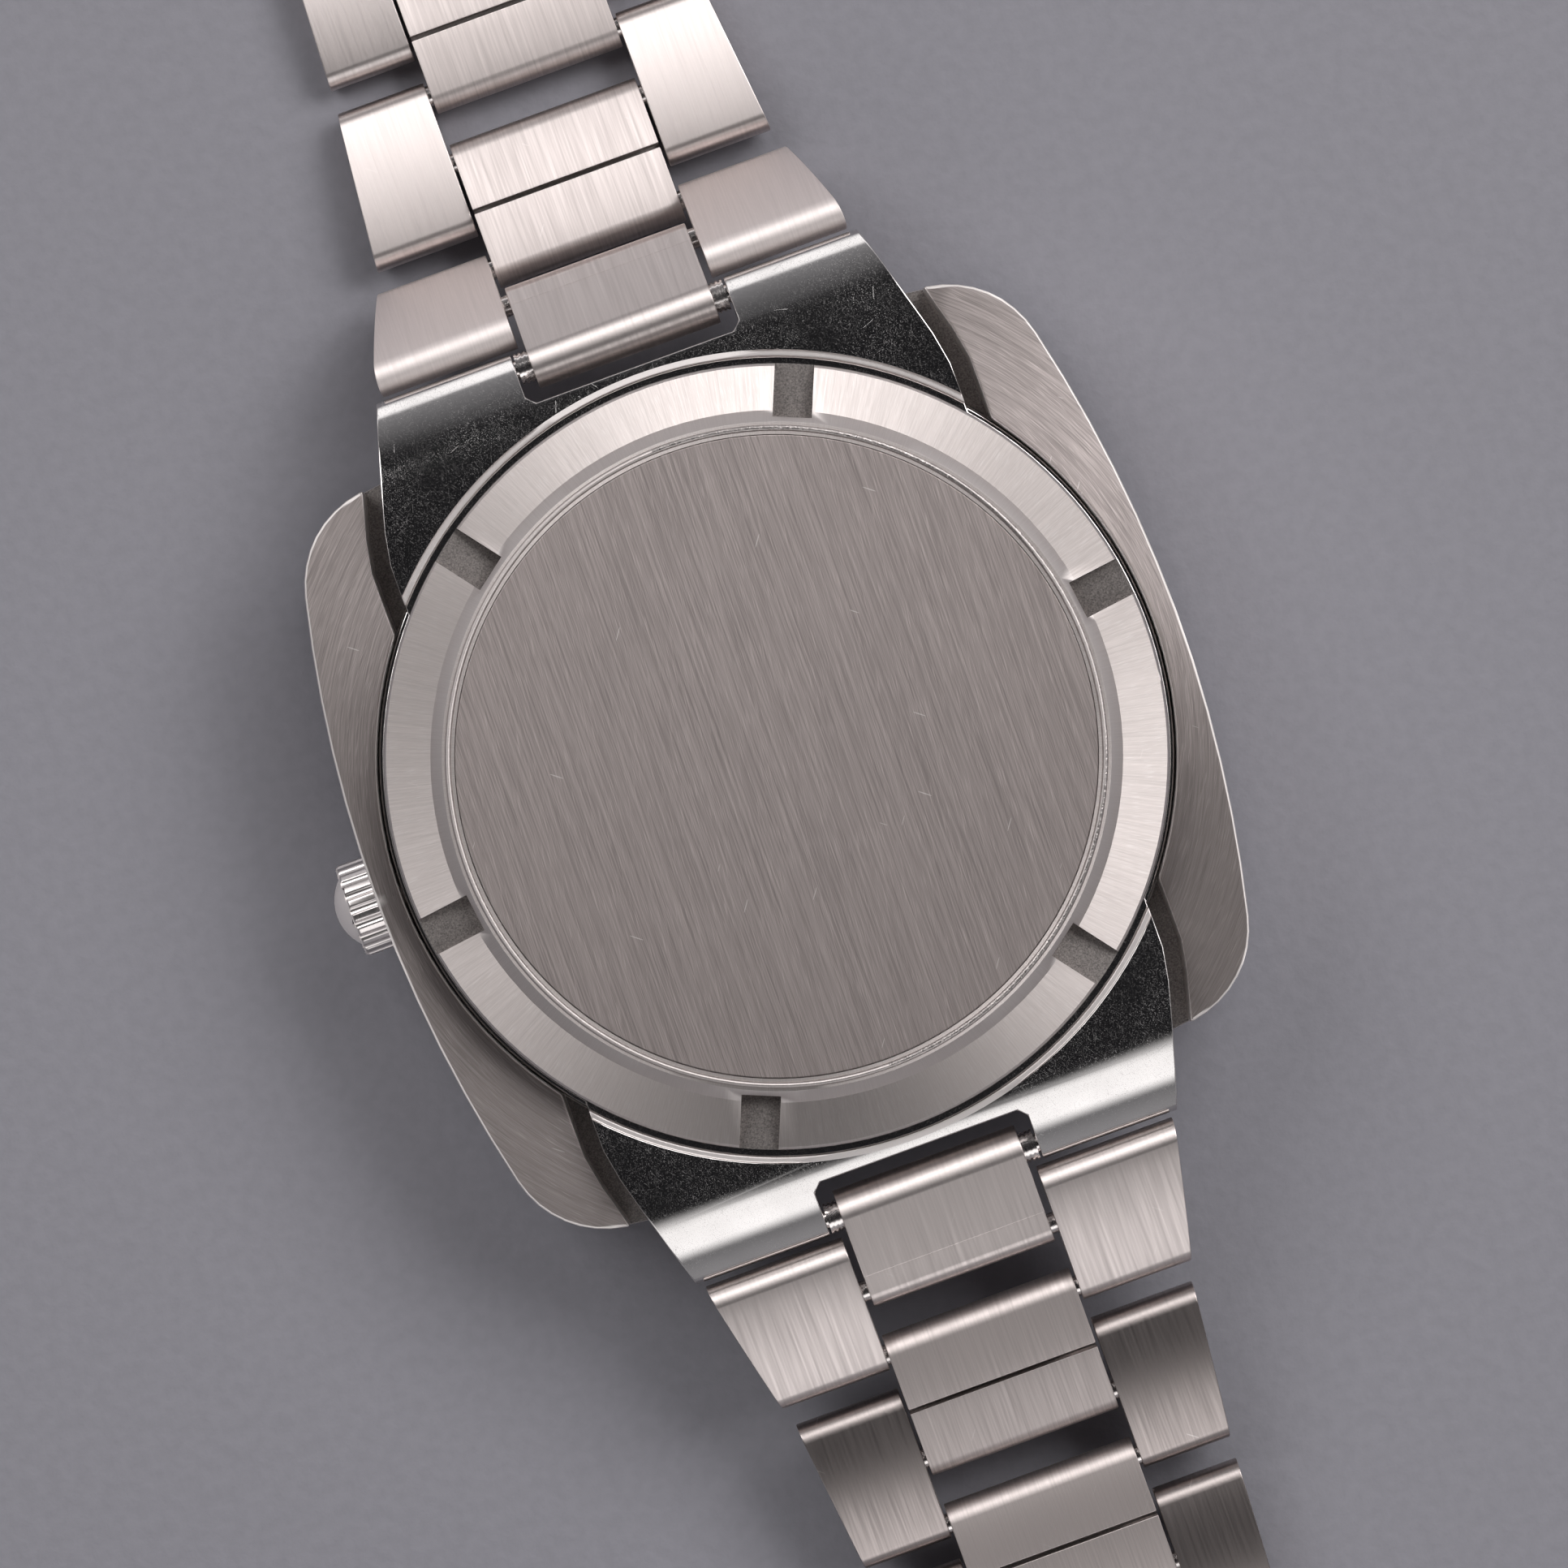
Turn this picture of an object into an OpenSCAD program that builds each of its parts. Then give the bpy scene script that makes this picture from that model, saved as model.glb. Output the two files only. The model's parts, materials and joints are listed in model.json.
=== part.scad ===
// Steel wristwatch with a bowed square case, lying on its crystal with the back up.
// The origin is the centre of the crystal's flat face, +Z points to the case back,
// +Y to 12 o'clock, and the crown points along -X.

/* [Case shell] */
// Width of the shell across its bowed sides
case_w = 35.7; // [35:0.1:37]
// Height of the shell between its bowed ends
case_h = 34.6; // [34:0.1:36]
// Radius of the bowed left and right sides
side_r = 57; // [50:1:70]
// Radius of the bowed ends
end_r = 90; // [80:1:120]
// Radius of the four corners
corner_r = 4.4; // [4:0.1:5]
// Height of the shell's front face above the crystal's face
bezel_z = 0.9; // [0.7:0.1:1.1]
// Depth of the shell from its front face to the flange's inner edge
shell_depth = 6.9; // [6.8:0.1:7.2]
// Drop of the flange's back from its inner edge to the far corners
flange_fall = 0.7; // [0.5:0.1:0.9]
// Rise of the sloping front from the crystal to the far corners
bezel_slope = 1.9; // [1.5:0.1:2.2]
// Depth of the channel beside the lug block, under the flange's inner edge
channel_depth = 2.2; // [2:0.1:2.3]
// Width of the channel beside the lug block
channel_w = 0.85; // [0.7:0.05:1]

/* [Lug frame] */
// Radius of the ring's bore round the movement
ring_bore_r = 14.6; // [14.5:0.05:14.65]
// Wall of the ring that the case back screws into
ring_wall = 2.1; // [2.05:0.05:2.15]
// Reach of the lug ends beyond the ends of the shell
lug_reach = 2.4; // [2.3:0.05:2.5]
// Half width of the lug block beside the case back
lug_root_w = 12.45; // [12.2:0.05:12.6]
// Half width of the lug block at the lug ends
lug_tip_w = 10.75; // [10.6:0.05:10.9]
// Height of the lug block above the flange's inner edge
lug_rise = 1.1; // [0.9:0.1:1.3]
// Width of the notch between two lugs
notch_w = 9.5; // [9.4:0.05:9.6]
// Depth of the notch from the lug ends
notch_depth = 2.35; // [2.3:0.05:2.4]

/* [Case back] */
// Inset of the screwed back's edge from the outer face of the ring that it screws into
back_inset = 0.27; // [0.24:0.01:0.35]
// Height of the back's rim above its seat, beside the step
back_rim_h = 1.2; // [1.1:0.1:1.4]
// Width of the back's rim outside the step
rim_w = 1.98; // [1.9:0.02:2.04]
// Fall of the rim from the step to its outer edge
rim_fall = 0.3; // [0.2:0.05:0.35]
// Height of the step round the disc
step_h = 0.45; // [0.4:0.05:0.5]
// Distance from the foot of the step to the edge of the brushed disc
disc_inset = 1.05; // [1:0.01:1.15]
// Thickness of the brushed disc
disc_t = 0.5; // [0.4:0.05:0.55]
// Width of each key slot
slot_w = 1.65; // [1.5:0.05:1.8]
// Number of key slots
slot_count = 6; // [6:1:6]
// Turn of the first key slot from +X
slot_turn = 7.4; // [0:0.1:15]
// Depth of the key slots beside the step
slot_depth = 0.6; // [0.5:0.05:0.65]

/* [Crystal and dial] */
// Width of the crystal
crystal_w = 29; // [28.6:0.1:29.2]
// Height of the crystal
crystal_h = 28; // [27.6:0.1:28.2]
// Thickness of the crystal
crystal_t = 1.7; // [1.6:0.05:1.75]
// Width of the dial
dial_w = 26.8; // [26.6:0.1:26.9]
// Height of the dial from 12 to 6
dial_h = 26; // [25.8:0.1:26.2]
// Width of the crystal's gasket
gasket_w = 0.45; // [0.4:0.05:0.5]
// Height of the dial's face above the crystal's face
dial_z = 3.1; // [3.05:0.05:3.15]
// Thickness of the dial
dial_t = 0.4; // [0.35:0.05:0.4]
// Length of the minute hand
minute_len = 10.4; // [10:0.1:11]

/* [Crown] */
// Diameter of the crown
crown_d = 4.05; // [3.9:0.05:4.1]
// Number of flutes round the crown
flute_count = 20; // [18:1:22]
// Height of the stem's axis above the crystal's face
stem_z = 4.9; // [4.85:0.05:4.95]
// Diameter of the stem
stem_d = 0.9; // [0.8:0.05:1]
// Outer diameter of the crown tube
tube_d = 1.9; // [1.8:0.05:2]

/* [Bracelet] */
// Distance between the two pins of a centre link
centre_span = 4.9; // [4.8:0.05:5]
// Distance between the two pins of an outer link
outer_span = 3.1; // [3.05:0.05:3.2]
// Distance from the spring bar to the first link pin
end_span = 3.55; // [3.5:0.05:3.6]
// Thickness of a link
link_t = 1.8; // [1.75:0.05:1.85]
// Thickness of the folded sheet
sheet_t = 0.4; // [0.35:0.05:0.4]
// Radius of the bow along a link's upper face
bow_r = 24; // [20:1:40]
// Diameter of a link pin
pin_d = 0.9; // [0.8:0.05:0.9]
// Running clearance round a pin
pin_gap = 0.05; // [0.04:0.01:0.06]
// Half width of a centre link
centre_w = 4.2; // [4.1:0.05:4.2]
// Side gap between a centre link and an outer link
side_gap = 0.15; // [0.12:0.01:0.2]
// Half width of the first outer link at the lugs
wide_w = 10.45; // [10.3:0.05:10.6]
// Half width that the bracelet tapers to
narrow_w = 7.4; // [7.3:0.05:7.6]
// Length over which the taper dies away
taper_len = 11.5; // [10:0.5:13]
// Height of the spring bars above the crystal's face
bar_z = 6.6; // [6.55:0.05:6.65]
// Inset of the spring bars from the lug ends
bar_inset = 0.7; // [0.65:0.05:0.75]
// Diameter of the spring bars
bar_d = 1.25; // [1.2:0.05:1.3]

/* [Clasp] */
// Length of the clasp's cover
clasp_len = 34; // [32:0.5:38]
// Half width of the clasp's cover
clasp_w = 7.5; // [7.3:0.1:7.6]
// Thickness of the clasp's sheet
clasp_t = 0.5; // [0.45:0.05:0.5]

/* [Hidden] */
UPPER_COUNT = 5;
LOWER_COUNT = 4;
UPPER = [for (i = [1 : UPPER_COUNT]) i];
LOWER = [for (i = [1 : LOWER_COUNT]) i];

// Fits between pieces of the head
fit = 0.03;
loose = 0.1;
ring_gap = 0.1;
far = 40;

// Radii that follow from the ring that the case back screws into
ring_r = ring_bore_r + ring_wall;
shell_bore_r = ring_r + ring_gap;
back_r = ring_r - back_inset;
step_r = back_r - rim_w;
disc_r = step_r - disc_inset;
thread_in = 1.45;
thread_r = ring_r - thread_in;
neck_gap = 0.05;
neck_r = thread_r - neck_gap;
neck_t = 1.1;
neck_bore_r = neck_r - neck_t;
gasket_in = 0.85;
gasket_r = ring_r - gasket_in;

// Levels of the case, all above the crystal's face
seat_rise = 0.5;
disc_rise = 0.1;
floor_t = 0.65;
ring_lift = 0.25;
glass_gap = 0.05;
flange_z = bezel_z + shell_depth;
channel_z = flange_z - channel_depth;
block_z = flange_z + lug_rise;
lug_end = case_h / 2 + lug_reach;
notch_y = lug_end - notch_depth;
bar_y = lug_end - bar_inset;
seat_z = flange_z + seat_rise;
ring_z = dial_z + dial_t + ring_lift;
rim_z = seat_z + back_rim_h;
disc_z = rim_z + step_h + disc_rise;
ceiling_z = disc_z - disc_t - floor_t;
corner_far = 21.5;
bezel_flat_r = 15;
ledge_w = 0.7;
ledge_z = crystal_t + glass_gap;

// Outlines of the crystal and the dial
crystal_corner_r = 4;
dial_corner_r = 4.6;

// Shape of the lug block
lug_inner_y = 9.6;
lug_bend_in = 6.7;
lug_bend_y = lug_end - lug_bend_in;
lug_bend = 0.25;
lug_bend_len = 1.4;
lug_roll_in = 4.5;
lug_roll_y = lug_end - lug_roll_in;
lug_roll_r = 6;
lug_nose_r = 0.8;
lug_heel_r = 2.2;
lug_low = 1.7;
lug_low_z = bar_z - lug_low;
groove_low = 0.8;
notch_cut = 0.35;
groove_z = flange_z - groove_low;
groove_t = 0.2;
lip_gap = 0.05;
lip_w = 0.25;
lip_drop = 0.12;

// Neck, step and seat of the case back
neck_len = 1.9;
neck_z = seat_z - neck_len;
step_w = 0.5;
edge_cut = 0.12;
bead_out = 0.3;
bead_r = disc_r + bead_out;
bead_t = 0.12;
slot_in = 0.3;
slot_inner_r = step_r - slot_in;
gasket_seat = 0.55;

// Crown and stem, as distances from the centre along -X. The crown sits in the
// side of the shell and clear of the ring.
crown_gap = 0.15;
crown_sink = 0.95;
crown_stand = 0.2;
crown_bed = 0.25;
knurl_len = 2.1;
crown_len = 2.85;
crown_depth = 1.2;
tube_short = 0.25;
crown_in = max(ring_r + crown_stand, case_w / 2 - crown_sink);
crown_rim = crown_in + knurl_len;
crown_out = crown_in + crown_len;
crown_floor = crown_in + crown_depth;
crown_collar = 0.3;
crown_bore_r = tube_d / 2 + loose;
flute_r = 0.2;
dome_half = 1.55;
dome_r = 2.07;
stem_grip = 0.9;
stem_tip = 8;
pinion_in = 8.4;
pinion_len = 1.3;
pinion_out = pinion_in + pinion_len;
pinion_r = 1.1;
tooth_w = 0.25;
tooth_h = 0.25;
pinion_teeth = 12;

// Levels of the movement
dial_gap = 0.05;
plate_t = 2.05;
train_h = 1.25;
bridge_t = 0.55;
plate_z = dial_z + dial_t + dial_gap;
plate_top = plate_z + plate_t;
bridge_z = plate_top + train_h;
bridge_top = bridge_z + bridge_t;
holder_w = 1.6;
plate_r = ring_bore_r - holder_w;
barrel_r = 4.6;
barrel_pos = [4.6, 4.9];
balance_r = 3.7;
balance_pos = [-2.4, -6.6];
balance_lift = 0.3;
balance_t = 0.35;
balance_w = 0.5;
arm_t = 0.2;
arm_w = 0.5;
staff_r = 0.2;
staff_len = 1.2;
arbor_r = 0.6;
arbor_len = 0.6;
bridge_r = 10.2;
bridge_edge = -1.6;
bridge_feet = [[-7, 3], [-4.5, 8], [9, -0.2]];
foot_r = 0.8;
cock_w = 2;
cock_in = 1.5;
cock_reach = balance_pos[1] + plate_r - cock_in;
cock_eye_r = 2.4;
collet_r = 0.5;
collet_h = 0.9;
spring_lift = 0.8;
spring_h = 0.15;
spring_in = 0.62;
spring_out = 1.9;
spring_t = 0.08;
spring_turns = 4;
stud_r = 0.15;
rotor_in = 0.4;
rotor_r = plate_r - rotor_in;
rotor_t = 0.3;
rotor_rim = 1.8;
rotor_gap = 0.25;
hub_r = 1.6;
hub_w = 1;
bearing_r = hub_r - pin_gap;
bearing_seat = 0.6;
bearing_lip = 0.5;
bearing_cap_t = 0.2;
marker_w = 0.7;
marker_len = 2.3;
marker_in = 9.4;
marker_t = 0.25;

// Levels of the hands' backs, and how deep their pipes reach into the main plate
hand_t = 0.15;
hand_step = 0.35;
hour_z = dial_z - hand_step;
minute_z = hour_z - hand_step;
second_z = minute_z - hand_step;
hour_len = minute_len * 0.66;
second_len = minute_len + 0.5;
hour_turn = 305;
minute_turn = 60;
second_turn = 210;
hour_pipe = 0.8;
minute_pipe = 1.3;
second_pipe = 1.6;
hand_bore = 1.7;
second_pipe_r = 0.18;
minute_pipe_r = 0.5;
hour_pipe_r = 0.8;
pipe_gap = 0.06;

// Bracelet sizes that follow from its driving sizes
end_reach = link_t / 2;
pin_r = pin_d / 2;
eye_r = pin_r + pin_gap;
near_reach = 3.35;
first_reach = 2.65;
far_reach = 0.7;
outer_inner_w = centre_w + side_gap;
end_eye_r = 0.75;
bar_eye_r = 1.05;
end_w = 4.05;
flap_len = 2.65;
seam_w = 0.18;
outer_wall = 0.55;
pin_hold = 0.01;
bar_tip_r = 0.4;
bar_tip_len = 0.8;
collar_count = 3;
collar_t = 0.05;
pitch = centre_span + outer_span;

// Rest tilts of the links in degrees, from the spring bar outwards. The last
// one of each list is worked out, so that the next link lies flat.
upper_tilts = [38, 54, 8, 4];
lower_tilts = [15, 20, 15, 13, 9, 8];
drop = bar_z - link_t / 2;

function span(i) = i == 0 ? end_span : i % 2 == 1 ? outer_span : centre_span;
function fall(tilts, i = 0) = i >= len(tilts) ? 0 : span(i) * sin(tilts[i]) + fall(tilts, i + 1);
function settled(tilts) = concat(tilts, [asin((drop - fall(tilts)) / span(len(tilts)))]);
function tilt(tilts, i) = i < len(tilts) ? tilts[i] : 0;
// Place of the pin at the near end of link i: i = 0 is the spring bar
function pin_at(tilts, i) = i == 0 ? [bar_y, bar_z]
  : pin_at(tilts, i - 1) + span(i - 1) * [cos(tilt(tilts, i - 1)), -sin(tilt(tilts, i - 1))];
// Half width of the bracelet at a distance s from the lugs
function half_w(s) = narrow_w + (wide_w - narrow_w) * exp(-s / taper_len);
upper_all = settled(upper_tilts);
lower_all = settled(lower_tilts);
clasp_pin = pin_at(upper_all, 2 * UPPER_COUNT + 1);

// Clasp, as distances and heights from the last pin of the upper side
knuckle_r = 0.7;
cover_gap = 0.25;
clasp_base = clasp_t - end_reach;
clasp_top = 1.8;
blade_w = 5.4;
blade_gap = 0.2;
blade_h = clasp_base + blade_gap;
fold_in = 0.9;
fold_rise = 0.55;
fold_s = clasp_len - fold_in;
fold_h = blade_h + fold_rise;
tuck_s = 3.1;
tuck_rise = 0.65;
tuck_h = fold_h + tuck_rise;
tuck_gap = 0.3;
ear_w = 3.9;
hook_in = 2;
hook_s = fold_s - hook_in;

// Points of an arc of radius r round c, from angle a0 to a1 in n steps, leaving
// out the first points where an arc before it ends there
function arc(c, r, a0, a1, n, first = 0) =
  [for (i = [first : n]) let (a = a0 + (a1 - a0) * i / n) c + r * [cos(a), sin(a)]];

// Centre of the corner circle of radius rc that touches both bowed edges
function corner_centre(w, h, rc) =
  let (p = [w / 2 - side_r, 0], q = [0, h / 2 - end_r], d = norm(q - p),
       r1 = side_r - rc, r2 = end_r - rc, a = (r1 * r1 - r2 * r2 + d * d) / (2 * d),
       e = (q - p) / d, o = sqrt(r1 * r1 - a * a))
  p + a * e + o * [-e[1], e[0]];

// First quarter of the bowed square, from the +X side to the +Y end
function quarter(w, h, rc) =
  let (c = corner_centre(w, h, rc),
       a = atan2(c[1], c[0] - w / 2 + side_r),
       b = atan2(c[1] - h / 2 + end_r, c[0]))
  concat(arc([w / 2 - side_r, 0], side_r, 0, a, 6),
         arc(c, rc, a, b, 8, 1),
         arc([0, h / 2 - end_r], end_r, b, 90, 4, 1));

// Turns a list of points half round the origin
function half_turn(p) = [for (q = p) -q];
// Mirrors a list of points in the Y axis and reverses its order
function mirrored(p) = [for (i = [len(p) - 2 : -1 : 0]) [-p[i][0], p[i][1]]];

module bowed_square(w, h, rc) {
  q = quarter(w, h, rc);
  top = concat(q, mirrored(q));
  bottom = half_turn(top);
  polygon(concat(top, [for (i = [1 : len(bottom) - 2]) bottom[i]]));
}

module slice(z0, z1) {
  translate([0, 0, z0]) linear_extrude(z1 - z0) children();
}

module bowed_slab(w, h, rc, z0, z1) {
  slice(z0, z1) bowed_square(w, h, rc);
}

module tube(r_out, r_in, z0, z1) {
  slice(z0, z1) difference() {
    circle(r_out, $fn = 96);
    circle(r_in, $fn = 96);
  }
}

module rod(r, z0, z1, fn = 96) {
  translate([0, 0, z0]) cylinder(h = z1 - z0, r = r, $fn = fn);
}

// A round bar along the X axis at the height of the stem
module stem_bar(r, x0, x1) {
  translate([x0, 0, stem_z]) rotate([0, 90, 0]) cylinder(h = x1 - x0, r = r, $fn = 48);
}

// A round bar along X through the origin
module cross_bar(r, half) {
  rotate([0, 90, 0]) cylinder(h = 2 * half, r = r, center = true, $fn = 48);
}

// Outline of the lug block on the 12 o'clock side, grown sideways
module lug_plan(grow = 0) {
  side = [[lug_root_w, lug_inner_y], [lug_root_w, lug_bend_y],
          [lug_root_w - lug_bend, lug_bend_y + lug_bend_len], [lug_tip_w, lug_end]];
  right = [for (p = side) p + [grow, 0]];
  polygon(concat(right, [for (i = [len(right) - 1 : -1 : 0]) [-right[i][0], right[i][1]]]));
}

// Outline of the notch between two lugs, with its inner corners cut off
module notch_plan() {
  half = [[notch_w / 2 - notch_cut, notch_y], [notch_w / 2, notch_y + notch_cut],
          [notch_w / 2, far]];
  polygon(concat(half, [for (i = [2 : -1 : 0]) [-half[i][0], half[i][1]]]));
}

// Side profile of the lug block: its top rolls over towards the lug ends
module lug_profile() {
  roll = [lug_roll_y, block_z - lug_roll_r];
  turn = acos((lug_end - lug_nose_r - lug_roll_y) / (lug_roll_r - lug_nose_r));
  nose = roll + (lug_roll_r - lug_nose_r) * [cos(turn), sin(turn)];
  dip = asin((lug_low_z + lug_heel_r - nose[1]) / (lug_heel_r - lug_nose_r));
  heel = nose - (lug_heel_r - lug_nose_r) * [cos(dip), -sin(dip)];
  polygon(concat(
    [[lug_inner_y, block_z]],
    arc(roll, lug_roll_r, 90, turn, 8),
    arc(nose, lug_nose_r, turn, -dip, 8, 1),
    arc(heel, lug_heel_r, -dip, -90, 6, 1),
    [[case_h / 2 + loose, lug_low_z], [case_h / 2 + loose, channel_z + fit],
     [lug_inner_y, channel_z + fit]]));
}

// Draws a profile of length and height along the X axis, centred
module across(half) {
  rotate([90, 0, 90]) linear_extrude(2 * half, center = true) children();
}

module both_ends() {
  children();
  rotate([0, 0, 180]) children();
}

module case_shell() {
  color("dimgray") difference() {
    intersection() {
      bowed_slab(case_w, case_h, corner_r, bezel_z, flange_z);
      rotate_extrude($fn = 96) polygon([
        [0, bezel_z], [bezel_flat_r, bezel_z], [corner_far, bezel_z + bezel_slope],
        [corner_far, flange_z - flange_fall], [shell_bore_r, flange_z], [0, flange_z]]);
    }
    rod(shell_bore_r, ring_z - loose, flange_z + 1);
    bowed_slab(crystal_w + 2 * gasket_w, crystal_h + 2 * gasket_w, crystal_corner_r + gasket_w,
               0, ledge_z);
    bowed_slab(dial_w - 2 * ledge_w, dial_h - 2 * ledge_w, dial_corner_r - ledge_w, 0, dial_z + 1);
    bowed_slab(dial_w + 2 * loose, dial_h + 2 * loose, dial_corner_r + loose, dial_z, ring_z);
    both_ends() slice(channel_z, flange_z + 1) lug_plan(channel_w);
    stem_bar(crown_d / 2 + crown_gap, -case_w, -crown_in + crown_bed);
    stem_bar(tube_d / 2 + fit, -case_w / 2, -ring_bore_r);
  }
}

module lug_frame() {
  color("silver") difference() {
    union() {
      rotate_extrude($fn = 96) polygon([
        [ring_bore_r, ring_z], [ring_r, ring_z], [ring_r, groove_z],
        [ring_r - groove_t, groove_z], [ring_r - groove_t, seat_z], [thread_r, seat_z],
        [thread_r, neck_z], [ring_bore_r, neck_z]]);
      both_ends() difference() {
        intersection() {
          slice(lug_low_z - 1, block_z + 1) lug_plan();
          across(lug_root_w + 1) lug_profile();
        }
        rod(ring_r - groove_t - loose, 0, far);
      }
    }
    rod(ring_r + lip_gap, seat_z, far);
    rod(ring_r + lip_gap + lip_w, block_z - lip_drop, far);
    both_ends() {
      slice(0, far) notch_plan();
      translate([0, bar_y, bar_z]) cross_bar(bar_tip_r + fit, notch_w / 2 + bar_tip_len + loose);
    }
    rotate_extrude($fn = 96) translate([gasket_r - gasket_seat / 2, seat_z - gasket_seat])
      square([gasket_seat, gasket_seat + 1]);
    stem_bar(tube_d / 2 + fit, -far, -ring_bore_r + 1);
  }
}

module crystal() {
  color("lightcyan", 0.5) bowed_slab(crystal_w, crystal_h, crystal_corner_r, 0, crystal_t);
}

module crystal_gasket() {
  color("ivory") slice(bezel_z + loose, crystal_t) difference() {
    bowed_square(crystal_w + 2 * gasket_w, crystal_h + 2 * gasket_w, crystal_corner_r + gasket_w);
    bowed_square(crystal_w, crystal_h, crystal_corner_r);
  }
}

module case_back() {
  edge_z = rim_z - rim_fall;
  color("lightgray") difference() {
    union() {
      rotate_extrude($fn = 120) polygon([
        [0, ceiling_z], [neck_bore_r, ceiling_z], [neck_bore_r, neck_z + loose],
        [neck_r, neck_z + loose], [neck_r, seat_z], [back_r - edge_cut, seat_z],
        [back_r, seat_z + edge_cut], [back_r, edge_z - edge_cut],
        [back_r - edge_cut, edge_z], [step_r, rim_z], [step_r - step_w, rim_z + step_h], [disc_r + fit, rim_z + step_h],
        [disc_r + fit, disc_z - disc_t], [0, disc_z - disc_t]]);
      rotate_extrude($fn = 120) translate([bead_r, rim_z + step_h]) circle(bead_t, $fn = 24);
    }
    for (i = [0 : slot_count - 1])
      rotate([0, 0, slot_turn + i * 360 / slot_count])
        translate([slot_inner_r, -slot_w / 2, rim_z - slot_depth]) cube([far, slot_w, far]);
  }
}

module back_disc() {
  color("darkgray") rod(disc_r, disc_z - disc_t, disc_z, 120);
}

module back_gasket() {
  color("black") translate([0, 0, seat_z - gasket_seat / 2])
    rotate_extrude($fn = 96) translate([gasket_r, 0]) circle(gasket_seat / 2 - fit, $fn = 24);
}

// The crown and the pieces on its axis are drawn outwards along -X
module crown() {
  dome_c = crown_out - dome_r;
  dome_turn = asin(dome_half / dome_r);
  color("silver") translate([0, 0, stem_z]) rotate([0, -90, 0]) difference() {
    rotate_extrude($fn = 96) polygon(concat(
      [[crown_bore_r, crown_in], [crown_d / 2, crown_in], [crown_d / 2, crown_rim],
       [crown_d / 2 - edge_cut, crown_rim + edge_cut]],
      arc([0, dome_c], dome_r, 90 - dome_turn, 90, 6),
      [[0, crown_floor + stem_grip], [stem_d / 2 + fit, crown_floor + stem_grip],
       [stem_d / 2 + fit, crown_floor], [crown_bore_r, crown_floor]]));
    for (i = [0 : flute_count - 1])
      rotate([0, 0, i * 360 / flute_count])
        translate([crown_d / 2 + flute_r / 2, 0, crown_in + crown_collar])
          cylinder(h = crown_rim - crown_in, r = flute_r, $fn = 16);
  }
}

module crown_tube() {
  color("gray") difference() {
    stem_bar(tube_d / 2, -crown_floor + tube_short, -ring_bore_r - loose);
    stem_bar(stem_d / 2 + loose, -far, 0);
  }
}

module stem() {
  color("gray") stem_bar(stem_d / 2, -crown_floor - stem_grip, -stem_tip);
}

module winding_pinion() {
  color("gold") difference() {
    union() {
      stem_bar(pinion_r - tooth_h, -pinion_out, -pinion_in);
      for (i = [0 : pinion_teeth - 1])
        translate([0, 0, stem_z]) rotate([i * 360 / pinion_teeth, 0, 0])
          translate([-pinion_out, -tooth_w / 2, 0]) cube([pinion_len, tooth_w, pinion_r]);
    }
    stem_bar(stem_d / 2 + pin_gap, -far, 0);
  }
}

module movement_ring() {
  color("slategray") difference() {
    tube(ring_bore_r - loose, plate_r + loose, ring_z, neck_z - loose);
    stem_bar(stem_d / 2 + loose, -far, 0);
  }
}

module dial() {
  color("midnightblue") slice(dial_z, dial_z + dial_t) difference() {
    bowed_square(dial_w, dial_h, dial_corner_r);
    circle(hour_pipe_r + loose, $fn = 48);
  }
}

// One bar at each hour, twice as wide at 12
module dial_markers() {
  color("white") for (i = [0 : 11]) {
    w = i == 0 ? 2 * marker_w : marker_w;
    rotate([0, 0, i * 30]) translate([-w / 2, marker_in, dial_z - marker_t])
      cube([w, marker_len, marker_t]);
  }
}

// A hand with its pipe: z is the hand's back face, depth is the pipe's in the main plate
module hand(z, len, w, tail, hub, pipe, bore, depth, turn) {
  rotate([0, 0, turn]) difference() {
    union() {
      slice(z - hand_t, z) {
        translate([-w / 2, -tail]) square([w, len + tail]);
        circle(hub, $fn = 48);
      }
      rod(pipe, z - hand_t, plate_z + depth, 48);
    }
    if (bore > 0) rod(bore, 0, far, 48);
  }
}

module hour_hand() {
  color("white")
    hand(z = hour_z, len = hour_len, w = 1, tail = 1.6, hub = 1.2, pipe = hour_pipe_r,
         bore = minute_pipe_r + pipe_gap, depth = hour_pipe, turn = hour_turn);
}

module minute_hand() {
  color("white")
    hand(z = minute_z, len = minute_len, w = 0.8, tail = 2, hub = 1, pipe = minute_pipe_r,
         bore = second_pipe_r + pipe_gap, depth = minute_pipe, turn = minute_turn);
}

module second_hand() {
  color("orange")
    hand(z = second_z, len = second_len, w = 0.25, tail = 3.2, hub = 0.6, pipe = second_pipe_r,
         bore = 0, depth = second_pipe, turn = second_turn);
}

module main_plate() {
  color("gold") difference() {
    rod(plate_r, plate_z, plate_top);
    rod(hour_pipe_r + pipe_gap, 0, plate_z + hand_bore, 48);
    stem_bar(stem_d / 2 + pin_gap, -far, -stem_tip + loose);
    stem_bar(pinion_r + loose, -pinion_out - loose, -pinion_in + loose);
    translate(balance_pos) rod(staff_r + pin_gap, plate_top - staff_len, far, 24);
    translate(barrel_pos) rod(arbor_r + pin_gap, plate_top - arbor_len, far, 24);
  }
}

module train_bridge() {
  color("gold") difference() {
    union() {
      slice(bridge_z, bridge_top) intersection() {
        circle(bridge_r, $fn = 96);
        translate([-far, bridge_edge]) square([2 * far, far]);
      }
      for (p = bridge_feet) translate(p) rod(foot_r, plate_top, bridge_top, 32);
    }
    translate(barrel_pos) rod(arbor_r + pin_gap, 0, far, 24);
    rod(bearing_r - bearing_seat, 0, far, 48);
  }
}

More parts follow.
